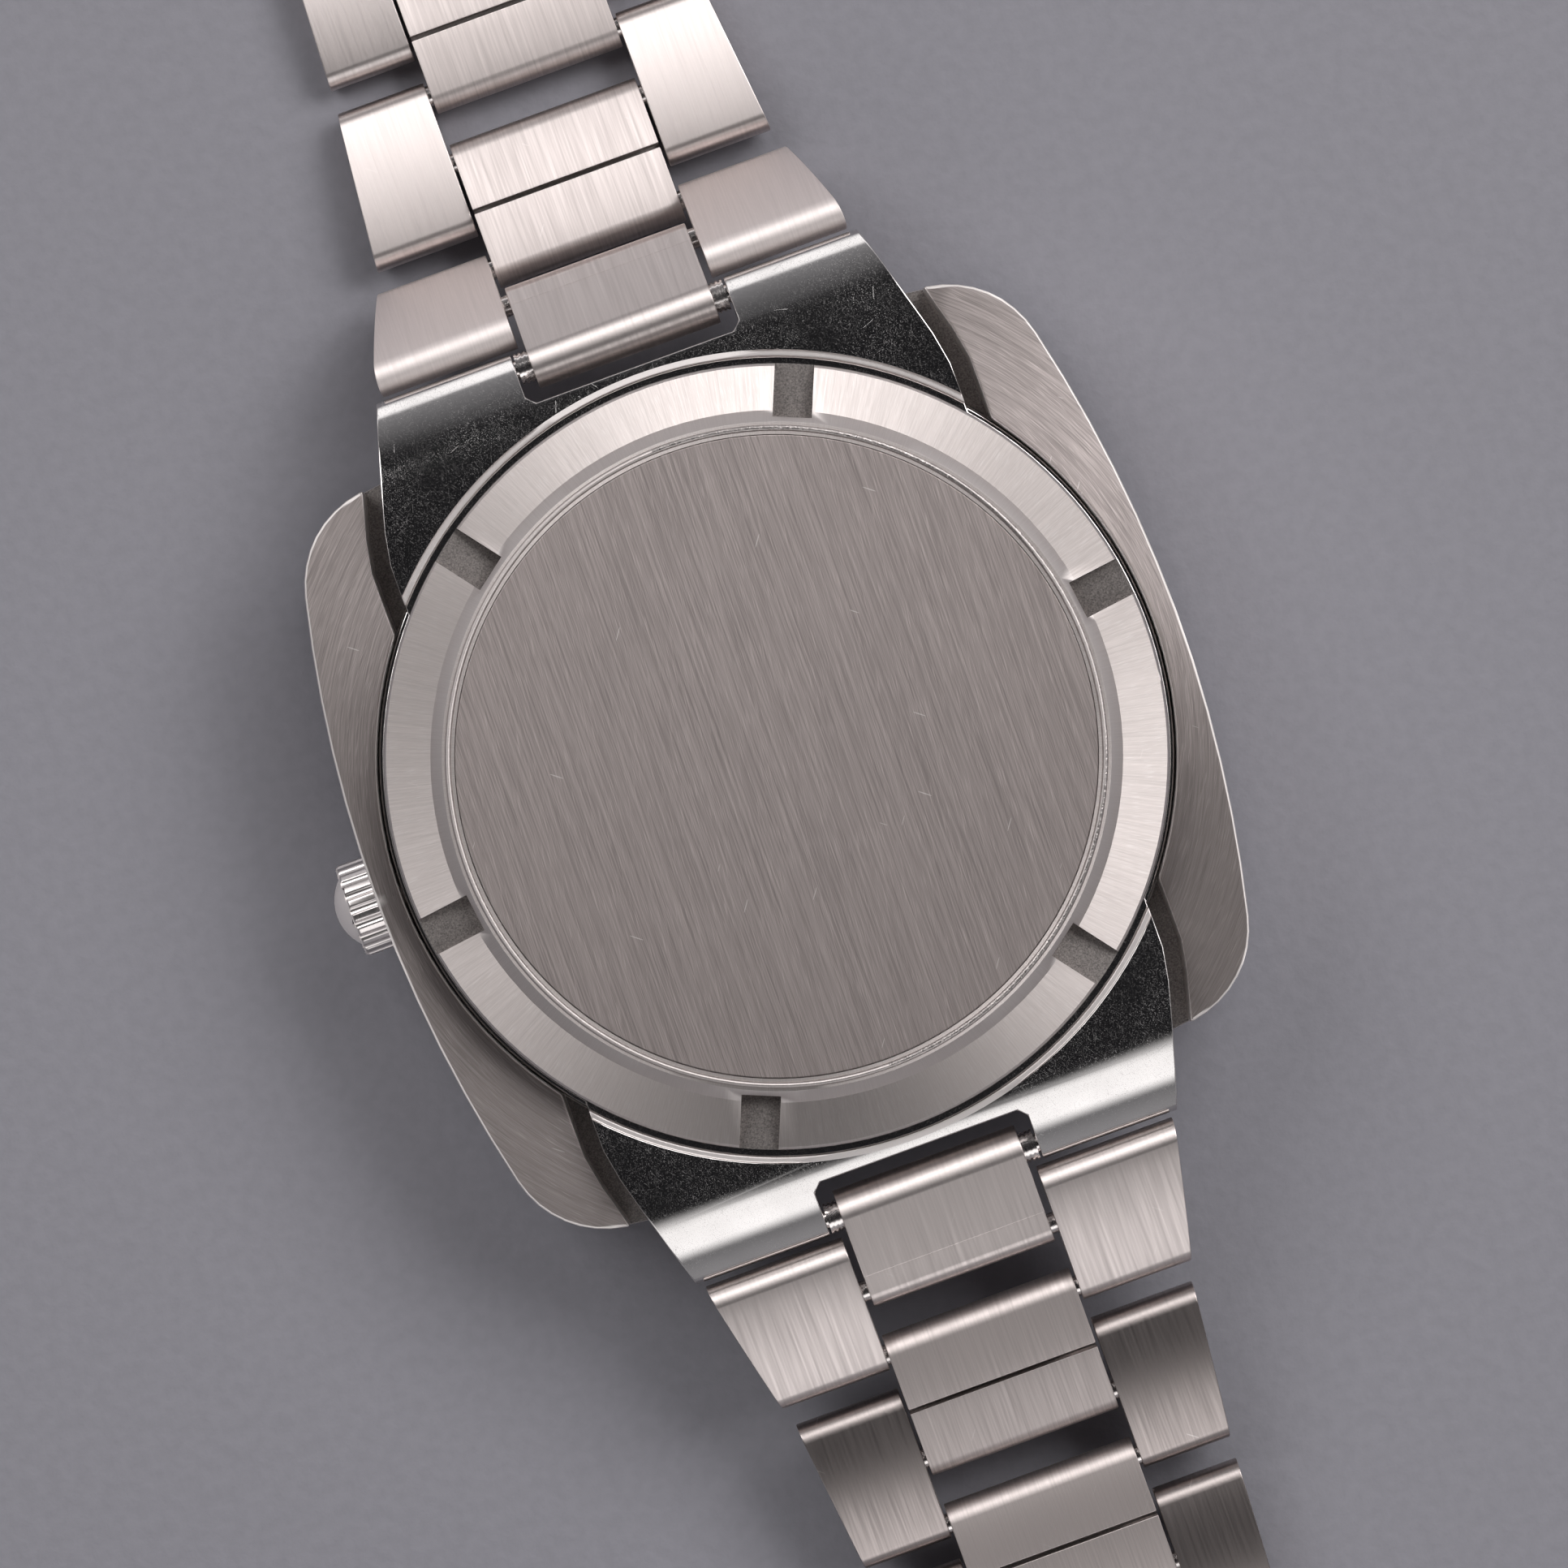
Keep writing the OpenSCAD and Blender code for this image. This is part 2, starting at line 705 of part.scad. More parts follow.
module barrel() {
  color("goldenrod") translate(barrel_pos) {
    tube(barrel_r, arbor_r, plate_top + loose, bridge_z - loose);
    rod(arbor_r, plate_top - arbor_len + loose, bridge_top, 24);
  }
}

module balance_wheel() {
  z0 = plate_top + balance_lift;
  color("gold") translate(balance_pos) {
    tube(balance_r, balance_r - balance_w, z0, z0 + balance_t);
    slice(z0, z0 + arm_t) square([2 * balance_r - balance_w, arm_w], center = true);
    rod(collet_r, z0, z0 + collet_h, 24);
    rod(staff_r, plate_top - staff_len + loose, bridge_top - loose, 24);
  }
}

module balance_cock() {
  foot = balance_pos + [0, -cock_reach];
  stud = balance_pos + [spring_out + spring_t + stud_r + fit, 0];
  color("gold") difference() {
    union() {
      slice(bridge_z, bridge_top) {
        translate(balance_pos) circle(cock_eye_r, $fn = 48);
        translate(foot - [cock_w / 2, 0]) square([cock_w, cock_reach]);
      }
      translate(foot) rod(cock_w / 2, plate_top, bridge_top, 48);
      translate(stud) rod(stud_r, plate_top + spring_lift, bridge_z + fit, 16);
    }
    translate(balance_pos) rod(staff_r + pin_gap, 0, far, 24);
  }
}

module hairspring() {
  steps = spring_turns * 20;
  rise = (spring_out - spring_in) / steps;
  inner = [for (i = [0 : steps]) (spring_in + rise * i) * [cos(18 * i), sin(18 * i)]];
  outer = [for (i = [steps : -1 : 0])
    (spring_in + spring_t + rise * i) * [cos(18 * i), sin(18 * i)]];
  color("steelblue") translate(balance_pos)
    slice(plate_top + spring_lift, plate_top + spring_lift + spring_h)
      polygon(concat(inner, outer));
}

module half_round() {
  intersection() {
    children();
    translate([-far / 2, -far, 0]) cube([far, far, far]);
  }
}

module rotor() {
  z0 = bridge_top + rotor_gap;
  color("goldenrod") {
    half_round() difference() {
      union() {
        rod(rotor_r, z0, z0 + rotor_t);
        tube(rotor_r, rotor_r - rotor_rim, z0, ceiling_z - rotor_gap);
      }
      rod(hub_r, 0, far);
    }
    tube(hub_r + hub_w, hub_r, z0, z0 + rotor_t);
  }
}

module rotor_bearing() {
  cap_z = bridge_top + rotor_gap + rotor_t + pin_gap;
  color("silver") {
    rod(bearing_r, bridge_top, cap_z);
    rod(hub_r + bearing_lip, cap_z, cap_z + bearing_cap_t);
  }
}

module spring_bars() {
  collar = (notch_w / 2 - end_w) / (2 * collar_count + 1);
  color("gray") both_ends() translate([0, bar_y, bar_z]) {
    cross_bar(bar_d / 2, notch_w / 2 - loose);
    cross_bar(bar_tip_r, notch_w / 2 + bar_tip_len);
    for (m = [0, 1], i = [0 : collar_count - 1])
      mirror([m, 0, 0]) translate([end_w + collar * (2 * i + 1), 0, 0])
        rotate([0, 90, 0]) cylinder(h = collar, r = bar_d / 2 + collar_t, $fn = 48);
  }
}

// Puts what follows at the near pin of link i on one side of the watch
module at_link(side, tilts, i) {
  p = pin_at(tilts, i);
  rotate([0, 0, side > 0 ? 0 : 180]) translate([0, p[0], p[1]])
    rotate([-tilt(tilts, i), 0, 0]) children();
}

// Long profile with round ends of radius r about two points
module stadium(len, r) {
  circle(r, $fn = 48);
  translate([len, 0]) circle(r, $fn = 48);
  translate([0, -r]) square([len, 2 * r]);
}

module end_link(side, tilts) {
  color("silver") at_link(side, tilts, 0) across(end_w) difference() {
    union() {
      circle(bar_eye_r, $fn = 48);
      translate([end_span, 0]) circle(end_eye_r, $fn = 48);
      translate([0, -end_eye_r]) square([end_span, 2 * end_eye_r]);
      square([flap_len, bar_eye_r]);
    }
    circle(bar_d / 2 + pin_gap, $fn = 48);
    translate([end_span, 0]) circle(eye_r, $fn = 48);
    translate([bar_eye_r + loose, -end_eye_r + sheet_t])
      square([end_span - bar_eye_r - end_eye_r - 2 * loose, 2 * (end_eye_r - sheet_t)]);
  }
}

// Long profile with round ends and a bowed upper face that runs smoothly into them
module bowed_stadium(len, r) {
  sink = len * len / 16 / (bow_r - r);
  turn = asin(len / 2 / (bow_r - r + sink));
  polygon(concat(
    arc([0, -sink], r - sink, 270, 90 + turn, 14),
    arc([len / 2, r - bow_r], bow_r, 90 + turn, 90 - turn, 8, 1),
    arc([len, -sink], r - sink, 90 - turn, -90, 14, 1)));
}

module centre_link(side, tilts, k) {
  color("silver") at_link(side, tilts, 2 * k) across(centre_w) difference() {
    bowed_stadium(centre_span, end_reach);
    stadium(centre_span, eye_r);
    translate([(centre_span - seam_w) / 2, 0]) square([seam_w, link_t]);
  }
}

// Half width of outer link k at the distance s from its near end
function link_w(k, s) = half_w((k - 1) * pitch + s);
function reach_of(k) = k == 1 ? first_reach : near_reach;
function pin_half(k) = link_w(k, reach_of(k) + outer_span) - outer_wall - loose;

module outer_links(side, tilts, k) {
  reach = reach_of(k);
  len = reach + outer_span + far_reach;
  wall_w = link_w(k, reach + outer_span) - outer_wall;
  color("silver") at_link(side, tilts, 2 * k - 1) for (m = [0, 1]) mirror([m, 0, 0])
    difference() {
      intersection() {
        across(wide_w + 1) difference() {
          translate([-reach + end_reach, 0]) bowed_stadium(len - link_t, end_reach);
          translate([-reach + end_reach, 0])
            stadium(reach - end_reach - pin_r - sheet_t - (end_reach - sheet_t), end_reach - sheet_t);
        }
        slice(-link_t, link_t) polygon([
          [outer_inner_w, -reach], [link_w(k, 0), -reach],
          [link_w(k, len), len - reach], [outer_inner_w, len - reach]]);
      }
      for (s = [0, outer_span]) translate([0, s, 0]) cross_bar(pin_r + pin_hold, wall_w);
    }
}

module link_pins(side, tilts, k) {
  color("gray") at_link(side, tilts, 2 * k - 1)
    for (s = [0, outer_span]) translate([0, s, 0]) cross_bar(pin_r, pin_half(k));
}

// The clasp is drawn from the last pin of the upper side, lying flat
module at_clasp() {
  translate([0, clasp_pin[0], clasp_pin[1]]) children();
}

module clasp_block(w0, w1, s0, s1, h0, h1) {
  translate([w0, s0, h0]) cube([w1 - w0, s1 - s0, h1 - h0]);
}

module clasp_cover() {
  color("silver") at_clasp() difference() {
    union() {
      clasp_block(-clasp_w, clasp_w, end_reach + cover_gap, clasp_len, -end_reach, clasp_base);
      for (m = [0, 1]) mirror([m, 0, 0]) {
        clasp_block(clasp_w - clasp_t, clasp_w, -far_reach, clasp_len, -end_reach, clasp_top);
        translate([(outer_inner_w + clasp_w) / 2, 0, 0]) across((clasp_w - outer_inner_w) / 2)
          translate([end_reach - near_reach, 0]) {
            circle(end_reach, $fn = 48);
            translate([0, -end_reach]) square([near_reach + cover_gap, link_t]);
          }
        clasp_block(blade_w + loose, clasp_w, fold_s - knuckle_r, fold_s + knuckle_r, -end_reach,
                    fold_h + knuckle_r);
      }
    }
    cross_bar(pin_r + pin_hold, clasp_w - outer_wall);
    translate([0, fold_s, fold_h]) cross_bar(pin_r + pin_hold, clasp_w - outer_wall);
  }
}

module clasp_cover_pins() {
  color("gray") at_clasp() {
    cross_bar(pin_r, clasp_w - outer_wall - loose);
    translate([0, fold_s, fold_h]) cross_bar(pin_r, clasp_w - outer_wall - loose);
  }
}

module clasp_middle_blade() {
  color("silver") at_clasp() difference() {
    union() {
      clasp_block(-blade_w, blade_w, tuck_s + knuckle_r + tuck_gap, fold_s, blade_h,
                  blade_h + clasp_t);
      translate([0, fold_s, fold_h]) cross_bar(knuckle_r, blade_w);
      for (m = [0, 1]) mirror([m, 0, 0]) {
        clasp_block(ear_w, blade_w, tuck_s, tuck_s + 2 * knuckle_r, blade_h, blade_h + clasp_t);
        clasp_block(ear_w, blade_w, tuck_s - knuckle_r, tuck_s + knuckle_r, blade_h, tuck_h);
        translate([(ear_w + blade_w) / 2, tuck_s, tuck_h])
          cross_bar(knuckle_r, (blade_w - ear_w) / 2);
      }
    }
    translate([0, fold_s, fold_h]) cross_bar(eye_r, far);
    translate([0, tuck_s, tuck_h]) cross_bar(pin_r + pin_hold, blade_w - outer_wall);
  }
}

module clasp_blade_pin() {
  color("gray") at_clasp() translate([0, tuck_s, tuck_h])
    cross_bar(pin_r, blade_w - outer_wall - loose);
}

module clasp_inner_blade() {
  plate_h = tuck_h + knuckle_r - clasp_t;
  color("silver") at_clasp() difference() {
    union() {
      clasp_block(-ear_w + loose, ear_w - loose, tuck_s, hook_s, plate_h, plate_h + clasp_t);
      translate([0, tuck_s, tuck_h]) cross_bar(knuckle_r, ear_w - loose);
      translate([0, hook_s, plate_h + end_eye_r]) cross_bar(end_eye_r, end_w);
    }
    translate([0, tuck_s, tuck_h]) cross_bar(eye_r, far);
    translate([0, hook_s, plate_h + end_eye_r]) cross_bar(eye_r, far);
  }
}

case_shell();
lug_frame();
crystal();
crystal_gasket();
case_back();
back_disc();
back_gasket();
crown();
crown_tube();
stem();
winding_pinion();
movement_ring();
dial();
dial_markers();
hour_hand();
minute_hand();
second_hand();
main_plate();
train_bridge();
barrel();
balance_wheel();
balance_cock();
hairspring();
rotor();
rotor_bearing();
spring_bars();
end_link(1, upper_all);  // upper_end_link
end_link(-1, lower_all);  // lower_end_link
for (i = UPPER) {
  centre_link(1, upper_all, i);
  outer_links(1, upper_all, i);
  link_pins(1, upper_all, i);
}
for (i = LOWER) {
  centre_link(-1, lower_all, i);
  outer_links(-1, lower_all, i);
  link_pins(-1, lower_all, i);
}
clasp_cover();
clasp_cover_pins();
clasp_middle_blade();
clasp_blade_pin();
clasp_inner_blade();
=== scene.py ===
"""Looks of a steel wristwatch with a bowed square case, lying on its crystal.

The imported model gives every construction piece. This script gives each of them a
finish, rounds the edges that show, and adds the bead round the disc of the case back
and the printed minute ring of the dial. Shapes are worked on in millimetres and are
brought to metres when they are done.
"""

import json
import logging
import math
from collections.abc import Sequence
from dataclasses import dataclass
from enum import Enum
from typing import Any

import bpy
from mathutils import Euler, Matrix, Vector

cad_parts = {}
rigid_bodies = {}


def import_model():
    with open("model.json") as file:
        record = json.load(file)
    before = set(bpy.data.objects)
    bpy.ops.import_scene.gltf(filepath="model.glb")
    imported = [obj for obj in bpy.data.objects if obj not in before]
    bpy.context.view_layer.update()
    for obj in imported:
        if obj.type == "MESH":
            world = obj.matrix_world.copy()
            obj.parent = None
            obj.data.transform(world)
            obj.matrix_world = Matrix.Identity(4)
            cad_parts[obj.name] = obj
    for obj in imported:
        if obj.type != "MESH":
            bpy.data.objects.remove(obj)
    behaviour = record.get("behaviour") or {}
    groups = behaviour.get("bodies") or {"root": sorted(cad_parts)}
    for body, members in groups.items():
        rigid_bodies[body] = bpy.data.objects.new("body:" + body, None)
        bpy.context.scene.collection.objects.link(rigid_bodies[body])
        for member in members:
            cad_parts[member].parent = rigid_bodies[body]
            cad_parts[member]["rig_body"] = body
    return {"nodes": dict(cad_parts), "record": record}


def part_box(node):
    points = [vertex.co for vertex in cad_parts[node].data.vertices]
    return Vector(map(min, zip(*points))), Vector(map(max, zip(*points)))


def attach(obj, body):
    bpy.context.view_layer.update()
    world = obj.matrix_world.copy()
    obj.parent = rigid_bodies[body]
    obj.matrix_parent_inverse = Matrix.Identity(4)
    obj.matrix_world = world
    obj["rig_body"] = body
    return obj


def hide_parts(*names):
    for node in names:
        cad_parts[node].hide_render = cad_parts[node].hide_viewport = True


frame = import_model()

LOG = logging.getLogger("watch")
MM = 0.001
NOISE_SPAN = (0.3, 0.7)
Colour = tuple[float, float, float]
PALE_STEEL: Colour = (0.72, 0.67, 0.655)
# Bright steel, painted on as a highlight: the flange's edges and the crown's dome.
HIGHLIGHT_STEEL: Colour = (0.95, 0.90, 0.88)


def shade(colour: Colour, factor: float) -> Colour:
    """Returns a colour made darker or lighter, up to white."""
    return tuple(min(c * factor, 1.0) for c in colour)


class Grain(Enum):
    """The way that a brush has gone over a surface."""

    LENGTHWISE = "lengthwise"
    CIRCULAR = "circular"
    RADIAL = "radial"


class Decor(Enum):
    """The pattern that is cut into a gilt part of the movement."""

    PLAIN = "plain"
    STRIPES = "stripes"
    CIRCLES = "circles"


class Graph:
    """The node tree of one material."""

    turn_scale = 15.0
    dots_kept = 0.55
    scratch_squeeze = 8.0
    scratch_stretch = 0.2
    scratch_reach = 0.06
    scratches_kept = 0.62

    def __init__(self, name: str) -> None:
        """Starts a material.

        Args:
            name: The material's name.
        """
        self.material = bpy.data.materials.new(name)
        self.material.use_nodes = True
        self.tree = self.material.node_tree
        self.shader = self.tree.nodes["Principled BSDF"]

    def feed(self, socket: bpy.types.NodeSocket, value: Any) -> None:
        """Links a socket to another one, or sets its value.

        Args:
            socket: The input to feed.
            value: An output socket, or a plain value.
        """
        if isinstance(value, bpy.types.NodeSocket):
            self.tree.links.new(value, socket)
        else:
            socket.default_value = value

    def add(
        self, kind: str, inputs: dict[Any, Any] | None = None, **settings: Any
    ) -> bpy.types.Node:
        """Adds a node.

        Args:
            kind: The node's type.
            inputs: What each input is fed with, by name or number.
            **settings: Properties of the node.

        Returns:
            The new node.
        """
        node = self.tree.nodes.new(kind)
        for key, value in settings.items():
            setattr(node, key, value)
        for key, value in (inputs or {}).items():
            self.feed(node.inputs[key], value)
        return node

    def set(self, **values: Any) -> None:
        """Feeds the main shader's inputs, named with underscores for spaces."""
        for key, value in values.items():
            self.feed(self.shader.inputs[key.replace("_", " ")], value)

    def maths(self, operation: str, a: Any, b: Any = 0.0) -> bpy.types.NodeSocket:
        """Returns the result of one sum on numbers."""
        return self.add("ShaderNodeMath", {0: a, 1: b}, operation=operation).outputs[0]

    def times(self, a: Any, b: Any) -> bpy.types.NodeSocket:
        """Returns the product of two numbers."""
        return self.maths("MULTIPLY", a, b)

    def plus(self, value: Any, mask: Any, amount: Any) -> bpy.types.NodeSocket:
        """Returns a number with an amount added to it as far as a mask goes."""
        return self.maths("ADD", value, self.times(mask, amount))

    def vector(self, operation: str, a: Any, b: Any = (0, 0, 0)) -> bpy.types.NodeSocket:
        """Returns the result of one sum on vectors."""
        return self.add("ShaderNodeVectorMath", {0: a, 1: b}, operation=operation).outputs[0]

    def place(self) -> bpy.types.NodeSocket:
        """Returns the place on the piece in millimetres."""
        coordinates = self.add("ShaderNodeTexCoord").outputs["Object"]
        return self.vector("MULTIPLY", coordinates, (1 / MM, 1 / MM, 1 / MM))

    def facing(self) -> tuple[bpy.types.NodeSocket, ...]:
        """Returns the three parts of the surface's normal on the piece."""
        return self.split(self.add("ShaderNodeTexCoord").outputs["Normal"])

    def split(self, vector: Any) -> tuple[bpy.types.NodeSocket, ...]:
        """Returns the three parts of a vector."""
        return tuple(self.add("ShaderNodeSeparateXYZ", {0: vector}).outputs)

    def join(self, x: Any, y: Any, z: Any) -> bpy.types.NodeSocket:
        """Returns a vector made of three numbers."""
        return self.add("ShaderNodeCombineXYZ", {0: x, 1: y, 2: z}).outputs[0]

    def length(self, vector: Any) -> bpy.types.NodeSocket:
        """Returns how long a vector is."""
        return self.vector("LENGTH", vector).node.outputs["Value"]

    def turned(self, where: Any, degrees: float) -> bpy.types.NodeSocket:
        """Returns a place turned round the watch's axis."""
        inputs = {"Vector": where, "Angle": math.radians(degrees)}
        return self.add("ShaderNodeVectorRotate", inputs, rotation_type="Z_AXIS").outputs[0]

    def noise(self, where: Any, scale: float, detail: float = 2.0) -> bpy.types.NodeSocket:
        """Draws a noise.

        Args:
            where: The place that the noise reads.
            scale: Grains of noise in a unit of that place.
            detail: Finer layers on top.

        Returns:
            The noise, of about 0 to 1.
        """
        inputs = {"Vector": where, "Scale": scale, "Detail": detail}
        return self.add("ShaderNodeTexNoise", inputs).outputs[0]

    def span(
        self, value: Any, low: float, high: float, to_low: float = 0.0, to_high: float = 1.0
    ) -> bpy.types.NodeSocket:
        """Returns a value stretched from one range to another and held inside it."""
        inputs = {0: value, 1: low, 2: high, 3: to_low, 4: to_high}
        return self.add("ShaderNodeMapRange", inputs).outputs[0]

    def blend(self, share: Any, a: Any, b: Any) -> bpy.types.NodeSocket:
        """Mixes two colours.

        Args:
            share: How much of the second colour there is, from 0 to 1.
            a: The first colour.
            b: The second colour.

        Returns:
            The mixed colour.
        """
        node = self.add("ShaderNodeMix", data_type="RGBA")
        self.feed(node.inputs[0], share)
        for socket, colour in ((node.inputs[6], a), (node.inputs[7], b)):
            linked = isinstance(colour, bpy.types.NodeSocket)
            self.feed(socket, colour if linked else (*colour, 1))
        return node.outputs[2]

    def relief(self, height: Any, depth: float) -> bpy.types.NodeSocket:
        """Gives a surface small ups and downs.

        Args:
            height: The height of the surface, about 0 to 1.
            depth: What a height of 1 stands for, in millimetres.

        Returns:
            The surface's normal.
        """
        inputs = {"Height": height, "Distance": depth * MM, "Strength": 1.0}
        return self.add("ShaderNodeBump", inputs).outputs[0]

    def specks(self, where: Any, scale: float, reach: float) -> bpy.types.NodeSocket:
        """Scatters small dots.

        Args:
            where: The place that the dots read.
            scale: Dots in a millimetre.
            reach: How large the dots are, as a share of their spacing.

        Returns:
            1 on the dots and 0 between them.
        """
        dots = self.add("ShaderNodeTexVoronoi", {"Vector": where, "Scale": scale}).outputs
        near = self.maths("LESS_THAN", dots["Distance"], reach)
        some = self.maths("GREATER_THAN", self.split(dots["Color"])[0], self.dots_kept)
        return self.times(near, some)

    def scratch(self, where: Any, turn: float, density: float) -> bpy.types.NodeSocket:
        """Draws thin straight scratches that run one way.

        Args:
            where: The place that the scratches read.
            turn: Their direction from +Y, in degrees.
            density: Scratches in a millimetre across them.

        Returns:
            1 on the scratches and 0 between them.
        """
        along = self.scratch_stretch
        stretch = (density * self.scratch_squeeze, along, along)
        thin = self.vector("MULTIPLY", self.turned(where, turn), stretch)
        inputs = {"Vector": thin, "Scale": 1.0, "Randomness": 1.0}
        line = self.add("ShaderNodeTexVoronoi", inputs).outputs
        close = self.maths("LESS_THAN", line["Distance"], self.scratch_reach)
        some = self.maths("GREATER_THAN", self.split(line["Color"])[1], self.scratches_kept)
        return self.times(close, some)

    def scratches(
        self, where: Any, sets: Sequence[tuple[float, float]]
    ) -> bpy.types.NodeSocket:
        """Draws several sets of scratches over each other.

        Args:
            where: The place that the scratches read.
            sets: The direction and density of each set.

        Returns:
            1 on the scratches and 0 between them.
        """
        marks, *others = [self.scratch(where, turn, density) for turn, density in sets]
        for more in others:
            marks = self.maths("MAXIMUM", marks, more)
        return marks

    def across(self, grain: Grain, where: Any) -> tuple[Any, Any]:
        """Works out a brush's lines on a surface.

        Args:
            grain: The way that the brush went.
            where: The place on the piece in millimetres.

        Returns:
            The place with its X across the lines and the rest along them, and the
            direction across the lines.
        """
        x, y, z = self.split(where)
        flat = self.join(x, y, 0.0)
        radius = self.length(flat)
        turn = self.times(self.maths("ARCTAN2", y, x), self.turn_scale)
        out = self.vector("NORMALIZE", flat)
        if grain is Grain.LENGTHWISE:
            lines, side = self.join(x, y, z), (1.0, 0.0, 0.0)
        elif grain is Grain.CIRCULAR:
            lines, side = self.join(radius, turn, z), out
        else:
            lines = self.join(turn, radius, z)
            side = self.vector("CROSS_PRODUCT", (0.0, 0.0, 1.0), out)
        world = self.add(
            "ShaderNodeVectorTransform", {0: side},
            vector_type="VECTOR", convert_from="OBJECT", convert_to="WORLD",
        )
        return lines, world.outputs[0]


@dataclass(frozen=True)
class Brushed:
    """Steel or another metal with fine lines left by a brush or a grinding belt, with a pale
    highlight painted on its rounded edges where asked.

    Attributes:
        name: The material's name.
        colour: Its middle colour.
        grain: The way that the brush went.
        roughness: How matt it is.
        anisotropy: How far the lines draw a reflection out.
        fine: Lines in a millimetre.
        streak: How long a line is against its width.
        contrast: How far the lines' colours differ.
        depth: Depth of the lines in millimetres.
        wear: Strength of the scratches across the lines.
        edge: How strongly a pale highlight is painted on the rounded edges.
        edge_rough: What the rounded edges add to the roughness.
        edge_highlight_colour: The pale colour that is painted on the rounded edges as a highlight.
        hairs: Strength of the short pale lines that cross the others.
        pocket_top: Height below which level ground is the grainy floor of a pocket.
    """

    name: str
    colour: Colour
    grain: Grain = Grain.LENGTHWISE
    roughness: float = 0.3
    anisotropy: float = 0.7
    fine: float = 14.0
    streak: float = 30.0
    contrast: float = 0.2
    depth: float = 0.002
    wear: float = 0.0
    edge: float = 0.0
    edge_rough: float = -0.15
    edge_highlight_colour: Colour = PALE_STEEL
    hairs: float = 0.0
    pocket_top: float = 0.0

    broad_width = 0.55
    fine_share = 0.78
    light_share = 0.7
    streak_rough = 0.05
    cloud_scale = 0.25
    cloud_rough = 0.01
    hair_turn = 7.0
    hair_length = 1.6
    hair_fine = 2.0
    hair_light = 1.9
    hair_span = (0.57, 0.70)
    scratch_sets = ((35.0, 0.35), (-52.0, 0.3))
    scratch_colour = (0.86, 0.81, 0.79)
    level = 0.972
    turned_down = 0.93
    pocket_level = 0.5
    pocket_grit = 16.0
    pocket_dark = (0.17, 0.155, 0.15)
    pocket_light = (0.38, 0.345, 0.33)
    pocket_rough = 0.2

    def build(self) -> bpy.types.Material:
        """Builds the material.

        Returns:
            The material.
        """
        graph = Graph(self.name)
        where = graph.place()
        lines, side = graph.across(self.grain, where)
        streaks = self.draw_streaks(graph, lines)
        dark = shade(self.colour, 1 - self.contrast)
        light = shade(self.colour, 1 + self.contrast * self.light_share)
        colour = graph.blend(streaks, dark, light)
        if self.hairs:
            colour = graph.blend(
                self.draw_hairs(graph, lines), colour, shade(self.colour, self.hair_light)
            )
        if self.wear:
            marks = graph.times(graph.scratches(where, self.scratch_sets), self.wear)
            colour = graph.blend(marks, colour, self.scratch_colour)
        uneven = graph.span(streaks, 0.0, 1.0, self.streak_rough, -self.streak_rough)
        rough = graph.maths("ADD", self.roughness, uneven)
        cloud = graph.noise(where, self.cloud_scale)
        cloudy = graph.span(cloud, *NOISE_SPAN, -self.cloud_rough, self.cloud_rough)
        rough = graph.maths("ADD", rough, cloudy)
        upright = graph.facing()[2]
        # Paints a pale highlight on the edges that turn away from level, and changes their
        # roughness.
        if self.edge:
            turned = graph.span(upright, self.turned_down, self.level, 1.0, 0.0)
            highlight_rim = graph.times(turned, self.edge)
            colour = graph.blend(highlight_rim, colour, self.edge_highlight_colour)
            rough = graph.plus(rough, highlight_rim, self.edge_rough)
        if self.pocket_top:
            low = graph.maths("LESS_THAN", graph.split(where)[2], self.pocket_top)
            inside = graph.times(low, graph.maths("GREATER_THAN", upright, self.pocket_level))
            grit = graph.span(graph.noise(where, self.pocket_grit, 3.0), *NOISE_SPAN)
            floor = graph.blend(grit, self.pocket_dark, self.pocket_light)
            colour = graph.blend(inside, colour, floor)
            rough = graph.plus(rough, inside, self.pocket_rough)
        graph.set(
            Base_Color=colour, Metallic=1.0, Roughness=rough, Anisotropic=self.anisotropy,
            Tangent=side, Normal=graph.relief(streaks, self.depth),
        )
        return graph.material

    def draw_streaks(self, graph: Graph, lines: Any) -> bpy.types.NodeSocket:
        """Draws the brush's lines, fine ones with broad ones between them.

        Args:
            graph: The material's node tree.
            lines: The place along and across the lines.

        Returns:
            The height of the lines, from 0 to 1.
        """
        long = 1 / self.streak
        thin = graph.vector("MULTIPLY", lines, (1.0, long, long))
        wide = graph.vector("MULTIPLY", lines, (self.broad_width, long / 2, long / 2))
        fine = graph.times(graph.noise(thin, self.fine, 2.0), self.fine_share)
        broad = graph.noise(wide, self.fine, 1.0)
        return graph.span(graph.plus(fine, broad, 1 - self.fine_share), *NOISE_SPAN)

    def draw_hairs(self, graph: Graph, lines: Any) -> bpy.types.NodeSocket:
        """Draws short pale lines that cross the others at a small angle.

        Args:
            graph: The material's node tree.
            lines: The place along and across the lines.

        Returns:
            The strength of the short lines.
        """
        long = self.hair_length * (1 / self.streak)
        crossed = graph.turned(lines, self.hair_turn)
        short = graph.vector("MULTIPLY", crossed, (1.0, long, long))
        noise = graph.noise(short, self.fine * self.hair_fine, 1.0)
        return graph.span(noise, *self.hair_span, 0.0, self.hairs)


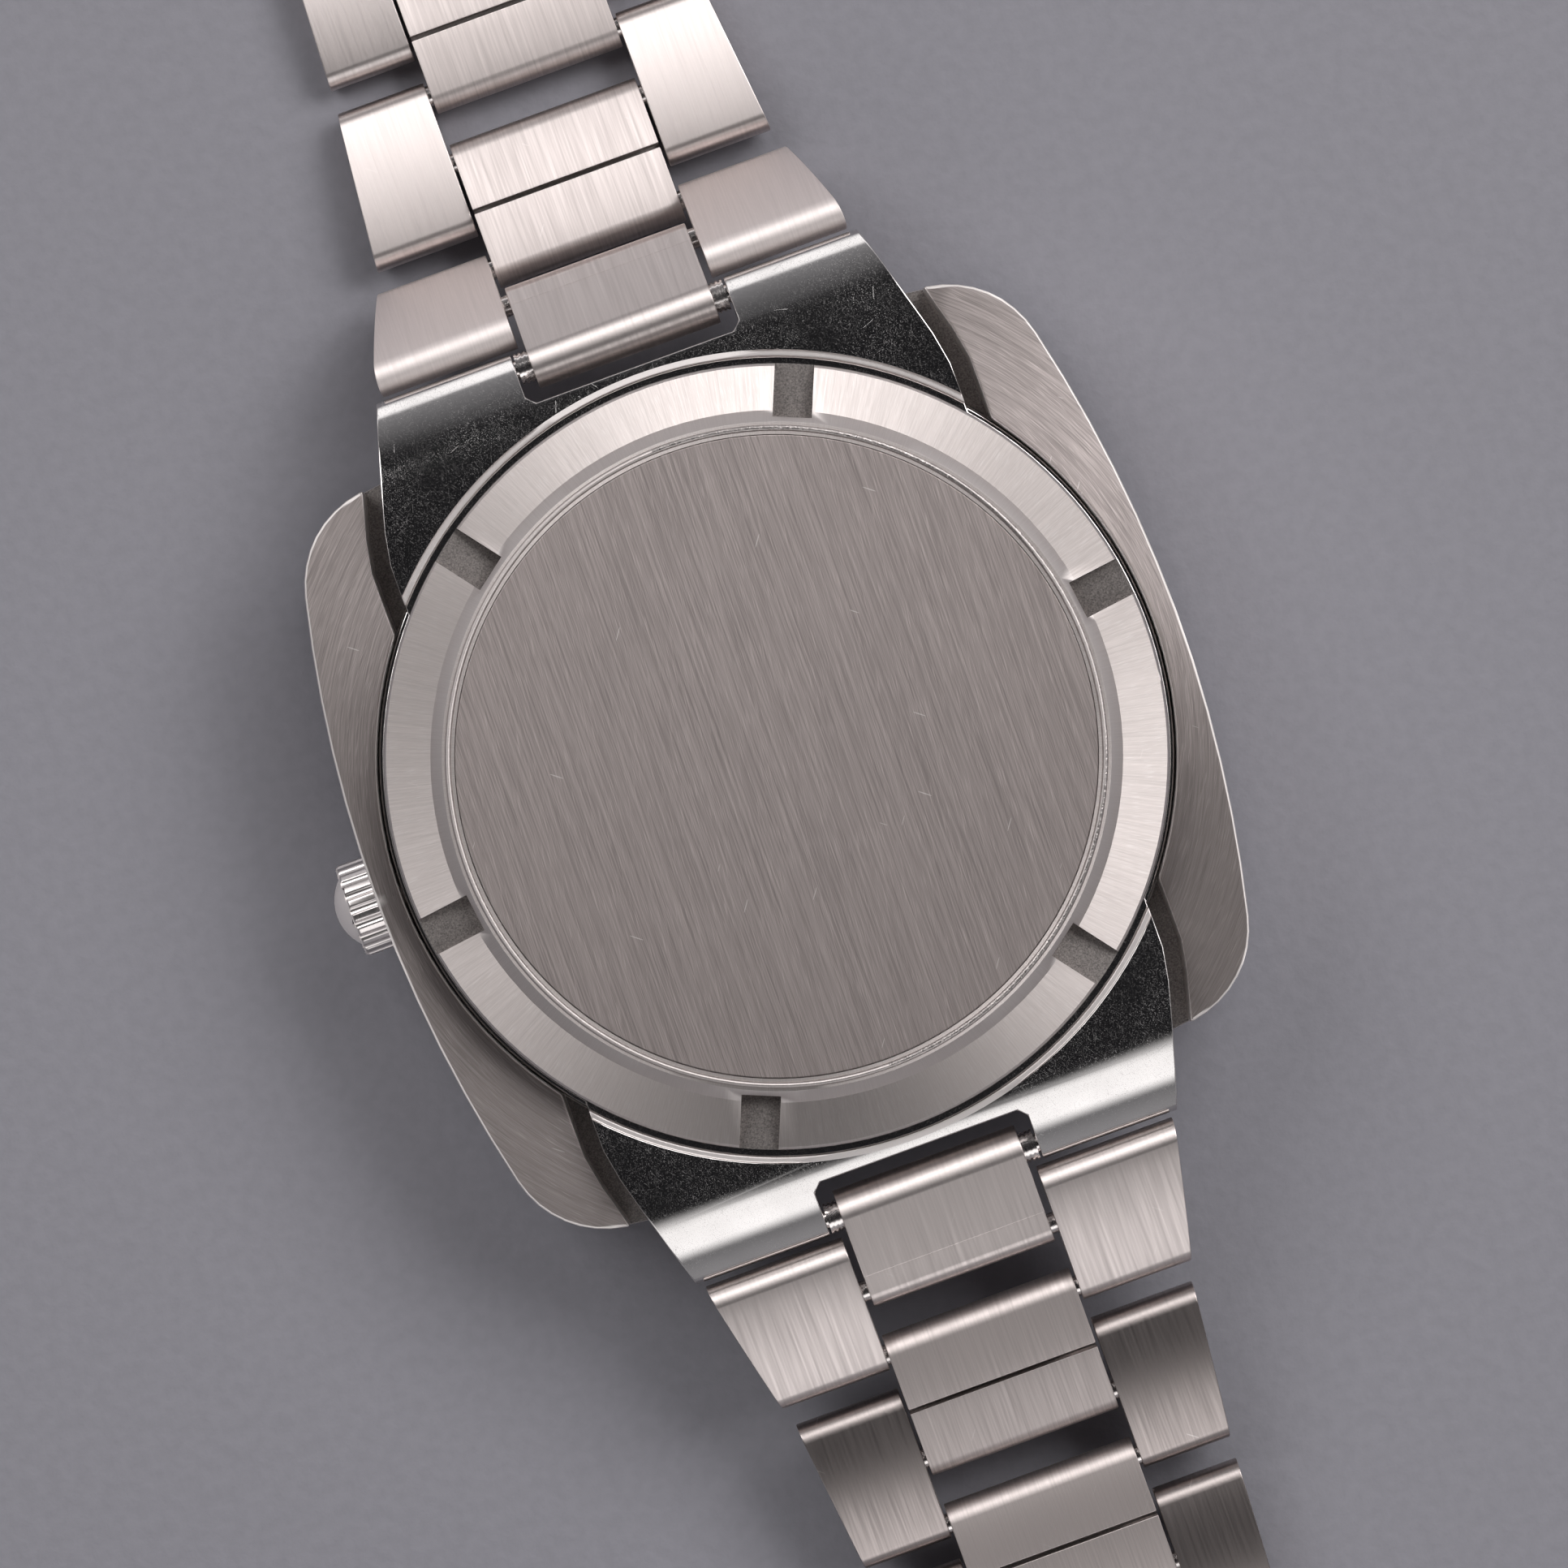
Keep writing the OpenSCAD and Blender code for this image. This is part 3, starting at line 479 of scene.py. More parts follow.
@dataclass(frozen=True)
class Polished:
    """Mirror polished metal with dust, smudges and the scratches of use, and, where asked,
    highlights painted on its side edges and its dome.

    Attributes:
        name: The material's name.
        colour: Its colour.
        roughness: How matt it is where it is clean.
        smudge: What smudges add to the roughness.
        dust: How much dust lies on it.
        wear: Strength of the scratches.
        satin_r: Radius inside which a raised lip is satin, in millimetres.
        satin_low: Height above which that lip lies.
        side_edge_highlight: How strongly a pale highlight is painted on the rounded edges at its
            sides.
        lit_dome_x: Place along X below which the dome is painted bright as a highlight and made
            rougher.
    """

    name: str
    colour: Colour
    roughness: float = 0.07
    smudge: float = 0.08
    dust: float = 0.0
    wear: float = 0.5
    satin_r: float = 0.0
    satin_low: float = 0.0
    side_edge_highlight: float = 0.0
    lit_dome_x: float = 0.0

    cloud_scale = 0.55
    cloud_height = 0.4
    swirl_stretch = (1.0, 0.2, 1.0)
    swirl_scale = 14.0
    swirl_rough = 0.04
    scratch_sets = ((18.0, 0.5), (-40.0, 0.45), (68.0, 0.4), (-75.0, 0.5))
    scratch_rough = 0.35
    smudge_shade = 0.93
    depth = 0.003
    patch_scale = 0.35
    fleck_scale = 24.0
    fleck_span = (0.57, 0.74)
    dots_per_mm = 5.5
    dot_reach = 0.06
    hair_turns = (12.0, -35.0)
    hair_stretch = (1.0, 0.1, 0.1)
    hair_scale = 30.0
    hair_span = (0.66, 0.76)
    hair_strength = 0.5
    dust_colour = (0.42, 0.395, 0.385)
    dust_rough = 0.5
    dome_rough = 0.3
    sideways_span = (0.2, 0.45)
    upright_span = (0.05, 0.25)
    rim_rough = 0.5
    lip_rough = 0.4

    def build(self) -> bpy.types.Material:
        """Builds the material.

        Returns:
            The material.
        """
        graph = Graph(self.name)
        where = graph.place()
        x, y, z = graph.split(where)
        cloud = graph.noise(where, self.cloud_scale, 4.0)
        drawn = graph.vector("MULTIPLY", where, self.swirl_stretch)
        swirl = graph.noise(drawn, self.swirl_scale, 3.0)
        rough = graph.maths("ADD", self.roughness, graph.span(cloud, 0.35, 0.7, 0.0, self.smudge))
        rough = graph.maths("ADD", rough, graph.span(swirl, 0.4, 0.8, 0.0, self.swirl_rough))
        marks = graph.times(graph.scratches(where, self.scratch_sets), self.wear)
        rough = graph.plus(rough, marks, self.scratch_rough)
        smudged = shade(self.colour, self.smudge_shade)
        colour = graph.blend(graph.span(cloud, *NOISE_SPAN), self.colour, smudged)
        metal: Any = 1.0
        if self.dust:
            spots = self.draw_dust(graph, where)
            colour = graph.blend(spots, colour, self.dust_colour)
            metal = graph.maths("SUBTRACT", 1.0, spots)
            rough = graph.plus(rough, spots, self.dust_rough)
        # Paints the dome bright as a highlight and makes it rougher.
        if self.lit_dome_x:
            lit_dome = graph.maths("LESS_THAN", x, self.lit_dome_x)
            colour = graph.blend(lit_dome, colour, HIGHLIGHT_STEEL)
            rough = graph.plus(rough, lit_dome, self.dome_rough)
        # Paints a pale highlight on the rounded side edges, which are also made satin.
        if self.side_edge_highlight:
            sideways, _, upright = graph.facing()
            sideways = graph.maths("ABSOLUTE", sideways)
            turned = graph.span(sideways, *self.sideways_span, 0.0, self.side_edge_highlight)
            highlight_rim = graph.times(turned, graph.span(upright, *self.upright_span))
            colour = graph.blend(highlight_rim, colour, PALE_STEEL)
            rough = graph.plus(rough, highlight_rim, self.rim_rough)
            metal = graph.maths("MAXIMUM", metal, highlight_rim)
        if self.satin_r:
            near = graph.maths("LESS_THAN", graph.length(graph.join(x, y, 0.0)), self.satin_r)
            lip = graph.times(near, graph.maths("GREATER_THAN", z, self.satin_low))
            colour = graph.blend(lip, colour, PALE_STEEL)
            rough = graph.plus(rough, lip, self.lip_rough)
            metal = graph.maths("MAXIMUM", metal, lip)
        height = graph.maths("SUBTRACT", graph.times(cloud, self.cloud_height), marks)
        graph.set(
            Base_Color=colour, Metallic=metal, Roughness=rough,
            Normal=graph.relief(height, self.depth),
        )
        return graph.material

    def draw_dust(self, graph: Graph, where: Any) -> bpy.types.NodeSocket:
        """Draws dust in flecks, dots and hairs, thicker in some places.

        Args:
            graph: The material's node tree.
            where: The place on the piece in millimetres.

        Returns:
            How much dust lies at each place.
        """
        patches = graph.noise(where, self.patch_scale, 2.0)
        patches = graph.span(patches, 0.35, 0.65, 0.45, 1.0)
        flecks = graph.span(graph.noise(where, self.fleck_scale, 3.0), *self.fleck_span)
        dots = graph.specks(where, self.dots_per_mm, self.dot_reach)
        spots = graph.maths("MAXIMUM", flecks, dots)
        for turn in self.hair_turns:
            drawn = graph.vector("MULTIPLY", graph.turned(where, turn), self.hair_stretch)
            hairs = graph.noise(drawn, self.hair_scale, 1.0)
            hairs = graph.span(hairs, *self.hair_span, 0.0, self.hair_strength)
            spots = graph.maths("MAXIMUM", spots, hairs)
        return graph.times(spots, graph.times(patches, self.dust))


@dataclass(frozen=True)
class Gilt:
    """Gilt brass of the movement, with a cut pattern."""

    name: str
    colour: Colour
    decor: Decor = Decor.PLAIN
    roughness: float = 0.28

    grain_scale = 18.0
    grain_depth = 0.002
    stripe_scale = 0.11
    stripe_depth = 0.05
    circle_scale = 0.8
    circle_jitter = 0.12
    circle_waves = 60.0
    circle_depth = 0.004
    dark_shade = 0.8
    smoother = 0.06
    rougher = 0.08

    def build(self) -> bpy.types.Material:
        """Builds the material.

        Returns:
            The material.
        """
        graph = Graph(self.name)
        where = graph.place()
        grainy = graph.noise(where, self.grain_scale, 3.0)
        height, depth = grainy, self.grain_depth
        if self.decor is Decor.STRIPES:
            inputs = {"Vector": where, "Scale": self.stripe_scale, "Detail": 0.0}
            height = graph.add("ShaderNodeTexWave", inputs).outputs[1]
            depth = self.stripe_depth
        elif self.decor is Decor.CIRCLES:
            inputs = {
                "Vector": where, "Scale": self.circle_scale, "Randomness": self.circle_jitter,
            }
            away = graph.add("ShaderNodeTexVoronoi", inputs).outputs["Distance"]
            height = graph.maths("SINE", graph.times(away, self.circle_waves))
            depth = self.circle_depth
        share = graph.span(graph.maths("ADD", grainy, height), 0.3, 1.5)
        rough = (self.roughness - self.smoother, self.roughness + self.rougher)
        graph.set(
            Base_Color=graph.blend(share, shade(self.colour, self.dark_shade), self.colour),
            Metallic=1.0, Roughness=graph.span(grainy, *NOISE_SPAN, *rough),
            Normal=graph.relief(height, depth),
        )
        return graph.material


@dataclass(frozen=True)
class Sunray:
    """The dial's lacquer over metal that is brushed outwards from the centre."""

    name: str
    colour: Colour
    edge: Colour
    core: float = 3.0
    reach: float = 14.5

    ray_stretch = (1.0, 0.02, 0.02)
    ray_scale = 8.0
    ray_strength = 0.35
    ray_light = 1.6
    depth = 0.002
    metallic = 0.85
    anisotropy = 0.75
    coat = 0.6
    coat_rough = 0.05

    def build(self) -> bpy.types.Material:
        """Builds the material.

        Returns:
            The material.
        """
        graph = Graph(self.name)
        where = graph.place()
        lines, side = graph.across(Grain.RADIAL, where)
        drawn = graph.vector("MULTIPLY", lines, self.ray_stretch)
        rays = graph.noise(drawn, self.ray_scale, 3.0)
        outwards = graph.span(graph.length(where), self.core, self.reach)
        base = graph.blend(outwards, self.colour, self.edge)
        pale = graph.span(rays, 0.35, 0.65, 0.0, self.ray_strength)
        graph.set(
            Base_Color=graph.blend(pale, base, shade(self.colour, self.ray_light)),
            Metallic=self.metallic, Roughness=graph.span(rays, *NOISE_SPAN, 0.3, 0.4),
            Anisotropic=self.anisotropy, Tangent=side, Normal=graph.relief(rays, self.depth),
            Coat_Weight=self.coat, Coat_Roughness=self.coat_rough,
        )
        return graph.material


@dataclass(frozen=True)
class Moulded:
    """Paint, nylon, rubber or cast steel with a slight grain."""

    name: str
    colour: Colour
    roughness: float = 0.5
    grain: float = 12.0
    depth: float = 0.004
    metallic: float = 0.0

    cloud_scale = 0.8
    dark_shade = 0.82
    uneven = 0.07

    def build(self) -> bpy.types.Material:
        """Builds the material.

        Returns:
            The material.
        """
        graph = Graph(self.name)
        where = graph.place()
        grain = graph.noise(where, self.grain, 3.0)
        cloud = graph.noise(where, self.cloud_scale, 2.0)
        share = graph.span(graph.maths("ADD", grain, cloud), 0.7, 1.3)
        rough = (self.roughness - self.uneven, self.roughness + self.uneven)
        graph.set(
            Base_Color=graph.blend(share, shade(self.colour, self.dark_shade), self.colour),
            Metallic=self.metallic, Roughness=graph.span(grain, *NOISE_SPAN, *rough),
            Normal=graph.relief(grain, self.depth),
        )
        return graph.material


@dataclass(frozen=True)
class Glazed:
    """Clear glass with faint wipe marks."""

    name: str
    colour: Colour
    refraction: float = 1.52

    wipe_stretch = (1.0, 0.15, 1.0)
    wipe_scale = 3.0
    wipe_shade = 0.97
    wipe_rough = 0.03

    def build(self) -> bpy.types.Material:
        """Builds the material.

        Returns:
            The material.
        """
        graph = Graph(self.name)
        drawn = graph.vector("MULTIPLY", graph.place(), self.wipe_stretch)
        wipe = graph.noise(drawn, self.wipe_scale, 3.0)
        share = graph.span(wipe, *NOISE_SPAN)
        graph.set(
            Base_Color=graph.blend(share, self.colour, shade(self.colour, self.wipe_shade)),
            Roughness=graph.span(wipe, 0.4, 0.7, 0.0, self.wipe_rough),
            Transmission_Weight=1.0, IOR=self.refraction,
        )
        return graph.material


class Finishes:
    """All the finishes of the watch, each built once."""

    def __init__(self) -> None:
        """Builds every finish."""
        # The flange's rounded edges get a highlight painted in bright steel.
        self.flange = Brushed(
            "flange_steel", (0.33, 0.29, 0.28), Grain.CIRCULAR, 0.54, 0.72, fine=17.0,
            streak=45.0, contrast=0.26, depth=0.0015, wear=0.35, edge=1.0, edge_rough=0.15,
            edge_highlight_colour=HIGHLIGHT_STEEL, hairs=0.35, pocket_top=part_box("case_shell")[1].z / MM - 1.0,
        ).build()
        # The lug block's rounded side edges get a painted pale highlight.
        self.lug = Polished(
            "lug_mirror", (0.60, 0.575, 0.565), roughness=0.05, smudge=0.04, dust=0.5, wear=0.2,
            satin_r=17.02, satin_low=8.6, side_edge_highlight=0.9,
        ).build()
        # The ring's rounded edges get a highlight painted in pale steel.
        self.back_ring = Brushed(
            "back_ring_steel", (0.62, 0.56, 0.54), Grain.RADIAL, 0.54, 0.76, fine=20.0,
            streak=40.0, contrast=0.08, depth=0.001, wear=0.15, edge=0.7, edge_rough=0.12,
            hairs=0.15, pocket_top=9.1,
        ).build()
        self.disc = Brushed(
            "disc_steel", (0.342, 0.298, 0.287), Grain.LENGTHWISE, 0.56, 0.80, fine=18.0,
            streak=70.0, contrast=0.25, depth=0.0015, wear=0.35, hairs=0.3,
        ).build()
        self.link = Brushed(
            "link_steel", (0.68, 0.61, 0.59), Grain.LENGTHWISE, 0.45, 0.74, fine=10.0,
            streak=40.0, contrast=0.08, depth=0.001, wear=0.2,
        ).build()
        self.centre_link = Brushed(
            "centre_link_steel", (0.68, 0.61, 0.59), Grain.LENGTHWISE, 0.6, 0.74, fine=12.0,
            streak=40.0, contrast=0.10, depth=0.001, wear=0.3,
        ).build()
        # A copy of the link finish painted paler, as lit, and matter, for the first upper row.
        self.lit_link = Brushed(
            "lit_link_steel", (0.84, 0.765, 0.745), Grain.LENGTHWISE, 0.6, 0.4, fine=12.0,
            streak=40.0, contrast=0.06, depth=0.001, wear=0.2,
        ).build()
        # A copy of the link finish painted darker, as shaded, and smoother, for the lower rows past
        # the first.
        self.shaded_smooth_link = Brushed(
            "shaded_smooth_link_steel", (0.46, 0.405, 0.39), Grain.LENGTHWISE, 0.38, 0.74, fine=12.0,
            streak=40.0, contrast=0.12, depth=0.001, wear=0.4,
        ).build()
        # The crown's dome is painted bright as a highlight.
        self.crown = Polished(
            "crown_steel", PALE_STEEL, roughness=0.27, smudge=0.05, wear=0.3,
            lit_dome_x=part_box("crown")[0].x / MM + 0.7,
        ).build()
        self.weld = Moulded("bead_steel", (0.50, 0.455, 0.44), 0.34, 9.0, 0.03, 1.0).build()
        self.bar = Polished(
            "bar_steel", PALE_STEEL, roughness=0.16, smudge=0.1, dust=0.2, wear=0.3,
        ).build()
        self.bright = Polished(
            "bright_steel", PALE_STEEL, roughness=0.08, smudge=0.08, wear=0.4,
        ).build()
        self.glass = Glazed("mineral_glass", (0.97, 0.985, 0.98)).build()
        self.nylon = Moulded("white_nylon", (0.72, 0.71, 0.67), 0.45).build()
        self.grey_nylon = Moulded("grey_nylon", (0.42, 0.42, 0.41), 0.5).build()
        self.seal = Moulded("seal_rubber", (0.02, 0.02, 0.022), 0.6, 9.0, 0.01).build()
        self.dial = Sunray("dial_lacquer", (0.035, 0.075, 0.19), (0.006, 0.012, 0.035)).build()
        self.hand = Brushed(
            "hand_metal", (0.82, 0.82, 0.81), Grain.LENGTHWISE, 0.2, 0.5, contrast=0.08,
            depth=0.001,
        ).build()
        self.ink = Moulded("white_ink", (0.78, 0.78, 0.76), 0.6, 16.0, 0.002).build()
        self.second = Moulded("orange_lacquer", (0.82, 0.17, 0.02), 0.3, 10.0, 0.001).build()
        self.plate = Gilt("gilt_circles", (0.83, 0.66, 0.38), Decor.CIRCLES).build()
        self.bridge = Gilt("gilt_stripes", (0.85, 0.68, 0.40), Decor.STRIPES, 0.2).build()
        self.brass = Gilt("plain_gilt", (0.86, 0.66, 0.34)).build()
        self.blued = Brushed(
            "blued_steel", (0.05, 0.10, 0.42), Grain.CIRCULAR, 0.25, 0.3, contrast=0.15,
            depth=0.001,
        ).build()


class Bench:
    """Where shapes are worked on, in millimetres, with one piece selected at a time."""

    merge_reach = 0.002
    flat_angle = math.radians(0.4)
    sharp_angle = math.radians(35.0)
    smooth_angle = math.radians(32)

    @staticmethod
    def take(piece: bpy.types.Object) -> None:
        """Selects one piece and nothing else.

        Args:
            piece: The piece.
        """
        bpy.ops.object.select_all(action="DESELECT")
        piece.select_set(True)
        bpy.context.view_layer.objects.active = piece

    @classmethod
    def copy_of(cls, node: str, name: str) -> bpy.types.Object:
        """Copies a construction piece for work on its edges.

        Args:
            node: The construction piece.
            name: The copy's name.

        Returns:
            The copy, in millimetres, merged and with its flat faces whole.
        """
        mesh = frame["nodes"][node].data.copy()
        mesh.transform(Matrix.Scale(1 / MM, 4))
        piece = bpy.data.objects.new(name, mesh)
        bpy.context.scene.collection.objects.link(piece)
        cls.take(piece)
        if mesh.has_custom_normals:
            bpy.ops.mesh.customdata_custom_splitnormals_clear()
        bpy.ops.object.mode_set(mode="EDIT")
        bpy.ops.mesh.select_all(action="SELECT")
        bpy.ops.mesh.remove_doubles(threshold=cls.merge_reach)
        bpy.ops.mesh.dissolve_limited(angle_limit=cls.flat_angle)
        bpy.ops.object.mode_set(mode="OBJECT")
        return piece

    @classmethod
    def round_edges(
        cls, piece: bpy.types.Object, width: float, segments: int = 2, held: bool = False
    ) -> None:
        """Rounds every sharp edge of a piece.

        Args:
            piece: The piece, in millimetres.
            width: How far the rounding reaches from the edge.
            segments: Faces across the rounding.
            held: Whether the rounding stops where it would meet another one.
        """
        cls.take(piece)
        bevel = piece.modifiers.new("rounding", "BEVEL")
        bevel.width = width
        bevel.segments = segments
        bevel.limit_method = "ANGLE"
        bevel.angle_limit = cls.sharp_angle
        bevel.use_clamp_overlap = held
        bpy.ops.object.modifier_apply(modifier=bevel.name)

    @classmethod
    def add_box(
        cls, name: str, low: Sequence[float], high: Sequence[float], bevel: float
    ) -> bpy.types.Object:
        """Makes a block with bevelled edges.

        Args:
            name: The block's name.
            low: Its lowest corner in millimetres.
            high: Its highest corner in millimetres.
            bevel: Width of its bevels in millimetres.

        Returns:
            The block, in millimetres.
        """
        middle = [(a + b) / 2 for a, b in zip(low, high)]
        bpy.ops.object.select_all(action="DESELECT")
        bpy.ops.mesh.primitive_cube_add(size=1.0, location=middle)
        piece = bpy.context.object
        piece.name = name
        piece.scale = [b - a for a, b in zip(low, high)]
        bpy.ops.object.transform_apply(location=True, rotation=True, scale=True)
        cls.round_edges(piece, bevel)
        return piece

    @classmethod
    def join(cls, pieces: Sequence[bpy.types.Object], name: str) -> bpy.types.Object:
        """Makes several pieces one object.

        Args:
            pieces: The pieces, the first of which stays.
            name: The name of the result.

        Returns:
            The joined piece.
        """
        cls.take(pieces[0])
        for piece in pieces:
            piece.select_set(True)
        bpy.ops.object.join()
        pieces[0].name = name
        return pieces[0]

    @staticmethod
    def turn(piece: bpy.types.Object, degrees: float) -> bpy.types.Object:
        """Turns a piece's mesh round the watch's centre and returns the piece."""
        piece.data.transform(Matrix.Rotation(math.radians(degrees), 4, "Z"))
        return piece

    @classmethod
    def deliver(
        cls, piece: bpy.types.Object, body: str, material: bpy.types.Material, slot: str,
        replaced: str = "",
    ) -> bpy.types.Object:
        """Brings a finished piece to metres and hands it over.

        Args:
            piece: The piece, in millimetres.
            body: The body that it moves with.
            material: Its finish.
            slot: The record's slot of that finish. Not used.
            replaced: The construction piece that it stands for, if any.

        Returns:
            The piece.
        """
        cls.take(piece)
        piece.data.transform(Matrix.Scale(MM, 4))
        bpy.ops.object.shade_smooth_by_angle(angle=cls.smooth_angle)
        evened = piece.modifiers.new("even_shading", "WEIGHTED_NORMAL")
        evened.keep_sharp = True
        bpy.ops.object.modifier_apply(modifier=evened.name)
        piece.data.materials.clear()
        piece.data.materials.append(material)
        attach(piece, body)
        if replaced:
            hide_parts(replaced)
        LOG.info("%s: %d faces, moves with %s", piece.name, len(piece.data.polygons), body)
        return piece


def body_of(node: str) -> str:
    """Returns the body that a construction piece belongs to."""
    return frame["nodes"][node]["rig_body"]


def slot_of(node: str) -> str:
    """Looks up the record's material slot of a construction piece.

    Args:
        node: The construction piece.

    Returns:
        The slot's name.
    """
    for part in frame["record"]["subparts"]:
        if part["node"] == node:
            return part["material_slot"]
    raise KeyError(node)


def dress(node: str, material: bpy.types.Material) -> None:
    """Gives a construction piece that keeps its shape its finish.

    Args:
        node: The construction piece.
        material: Its finish.
    """
    mesh = frame["nodes"][node].data
    mesh.materials.clear()
    mesh.materials.append(material)
    LOG.info("%s: dressed", node)


def refine(
    node: str, material: bpy.types.Material, width: float, segments: int = 2, held: bool = False
) -> bpy.types.Object:
    """Stands a copy with rounded edges in for a construction piece.

    Args:
        node: The construction piece.
        material: The copy's finish.
        width: How far the rounding reaches, in millimetres.
        segments: Faces across the rounding.
        held: Whether the rounding stops where it would meet another one.

    Returns:
        The copy.
    """
    piece = Bench.copy_of(node, f"{node}_finished")
    Bench.round_edges(piece, width, segments, held)
    return Bench.deliver(piece, body_of(node), material, slot_of(node), node)


@dataclass
class Case:
    """The shell, the lug block and the screwed back."""

    finishes: Finishes
    shell_rounding: float = 0.13
    lug_rounding: float = 0.07
    back_rounding: float = 0.04
    bead_r: float = 13.7
    bead_t: float = 0.13
    bead_low: float = 0.111
    bead_steps: int = 240
    bead_sides: int = 12

    def build(self) -> None:
        """Dresses the case."""
        refine("case_shell", self.finishes.flange, self.shell_rounding)
        refine("lug_frame", self.finishes.lug, self.lug_rounding)
        refine("case_back", self.finishes.back_ring, self.back_rounding, held=True)
        refine("back_disc", self.finishes.disc, self.back_rounding)
        dress("back_gasket", self.finishes.seal)
        dress("crystal_gasket", self.finishes.nylon)
        dress("crystal", self.finishes.glass)
        self.build_bead()

    def build_bead(self) -> None:
        """Lays the grainy bead that runs round the brushed disc."""
        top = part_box("back_disc")[1].z / MM
        bpy.ops.object.select_all(action="DESELECT")
        bpy.ops.mesh.primitive_torus_add(
            location=(0, 0, top - self.bead_low), major_segments=self.bead_steps,
            minor_segments=self.bead_sides, major_radius=self.bead_r, minor_radius=self.bead_t,
        )
        bead = bpy.context.object
        bead.name = "back_bead"
        bpy.ops.object.transform_apply(location=True, rotation=False, scale=False)
        bpy.ops.object.shade_smooth()
        Bench.deliver(bead, body_of("case_back"), self.finishes.weld, slot_of("case_back"))


@dataclass
class Winding:
    """The crown and what it turns."""

    finishes: Finishes
    crown_rounding: float = 0.05

    def build(self) -> None:
        """Dresses the crown, its tube, the stem and the pinion."""
        refine("crown", self.finishes.crown, self.crown_rounding)
        dress("crown_tube", self.finishes.bright)
        dress("stem", self.finishes.bar)
        dress("winding_pinion", self.finishes.bar)


@dataclass
class DialSide:
    """The dial, its printed ring, the markers and the hands."""

    finishes: Finishes
    tick_reach: float = 12.2
    tick_len: float = 0.5
    tick_w: float = 0.12
    ink_t: float = 0.02
    ink_rounding: float = 0.005
    hand_rounding: float = 0.05
    second_rounding: float = 0.02
    minutes: int = 60
    minutes_per_marker: int = 5

    def build(self) -> None:
        """Dresses the dial side."""
        dress("dial", self.finishes.dial)
        for node in ("dial_markers", "hour_hand", "minute_hand"):
            refine(node, self.finishes.hand, self.hand_rounding, 1)
        refine("second_hand", self.finishes.second, self.second_rounding, 1)
        self.build_minute_ring()

    def build_minute_ring(self) -> None:
        """Prints a short line for each minute between the hour markers."""
        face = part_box("dial")[0].z / MM
        ticks = []
        for minute in range(self.minutes):
            if minute % self.minutes_per_marker:
                low = (-self.tick_w / 2, self.tick_reach - self.tick_len, face - self.ink_t)
                high = (self.tick_w / 2, self.tick_reach, face)
                tick = Bench.add_box("tick", low, high, self.ink_rounding)
                ticks.append(Bench.turn(tick, minute * 360 / self.minutes))
        ring = Bench.join(ticks, "minute_ring")
        Bench.deliver(ring, "head", self.finishes.ink, slot_of("dial_markers"))


@dataclass
class Movement:
    """The movement under the case back."""

    finishes: Finishes

    def build(self) -> None:
        """Dresses the movement."""
        dress("main_plate", self.finishes.plate)
        dress("train_bridge", self.finishes.bridge)
        dress("balance_cock", self.finishes.bridge)
        dress("rotor", self.finishes.bridge)
        dress("barrel", self.finishes.brass)
        dress("balance_wheel", self.finishes.brass)
        dress("hairspring", self.finishes.blued)
        dress("rotor_bearing", self.finishes.bar)
        dress("movement_ring", self.finishes.grey_nylon)


@dataclass
class Bracelet:
    """The folded links, their pins and the spring bars."""

    finishes: Finishes
    upper_count: int = 5
    lower_count: int = 4
    rounding: float = 0.05

    def build(self) -> None:
        """Dresses the two sides of the bracelet."""
        for side, count in (("upper", self.upper_count), ("lower", self.lower_count)):
            refine(f"{side}_end_link", self.finishes.link, self.rounding)
            for i in range(1, count + 1):
                refine(f"{side}_centre_link_{i}", self.finishes.centre_link, self.rounding)
                refine(f"{side}_outer_links_{i}", self.outer_finish(side, i), self.rounding)
                dress(f"{side}_pins_{i}", self.finishes.bar)
        dress("spring_bars", self.finishes.bar)

    def outer_finish(self, side: str, row: int) -> bpy.types.Material:
        """Picks the finish of a row of outer links: the first upper row is painted paler, as lit,
        and is matt; the lower rows past the first are painted darker, as shaded, and are smoother.

        Args:
            side: The upper or lower side of the bracelet.
            row: The row's number, from the case outwards.

        Returns:
            The row's finish.
        """
        if side == "upper":
            return self.finishes.lit_link if row == 1 else self.finishes.link
        return self.finishes.link if row == 1 else self.finishes.shaded_smooth_link


@dataclass
class Clasp:
    """The folding clasp."""

    finishes: Finishes
    rounding: float = 0.08

    def build(self) -> None:
        """Dresses the clasp."""
        for node in ("clasp_cover", "clasp_middle_blade", "clasp_inner_blade"):
            refine(node, self.finishes.link, self.rounding)
        for node in ("clasp_cover_pins", "clasp_blade_pin"):
            dress(node, self.finishes.bar)


@dataclass(frozen=True)
class Softbox:
    """A lamp that faces the watch.

    Attributes:
        name: The lamp's name.
        bearing: Its direction, clockwise from the top of the picture, in degrees.
        tilt: Its angle from straight above, in degrees.
        distance: Its distance in metres.
        size: Its width and height in metres.
        power: Its power in watts.
        soft: Whether it fades towards its edges.
    """

    name: str
    bearing: float
    tilt: float
    distance: float
    size: tuple[float, float]
    power: float
    soft: bool = False


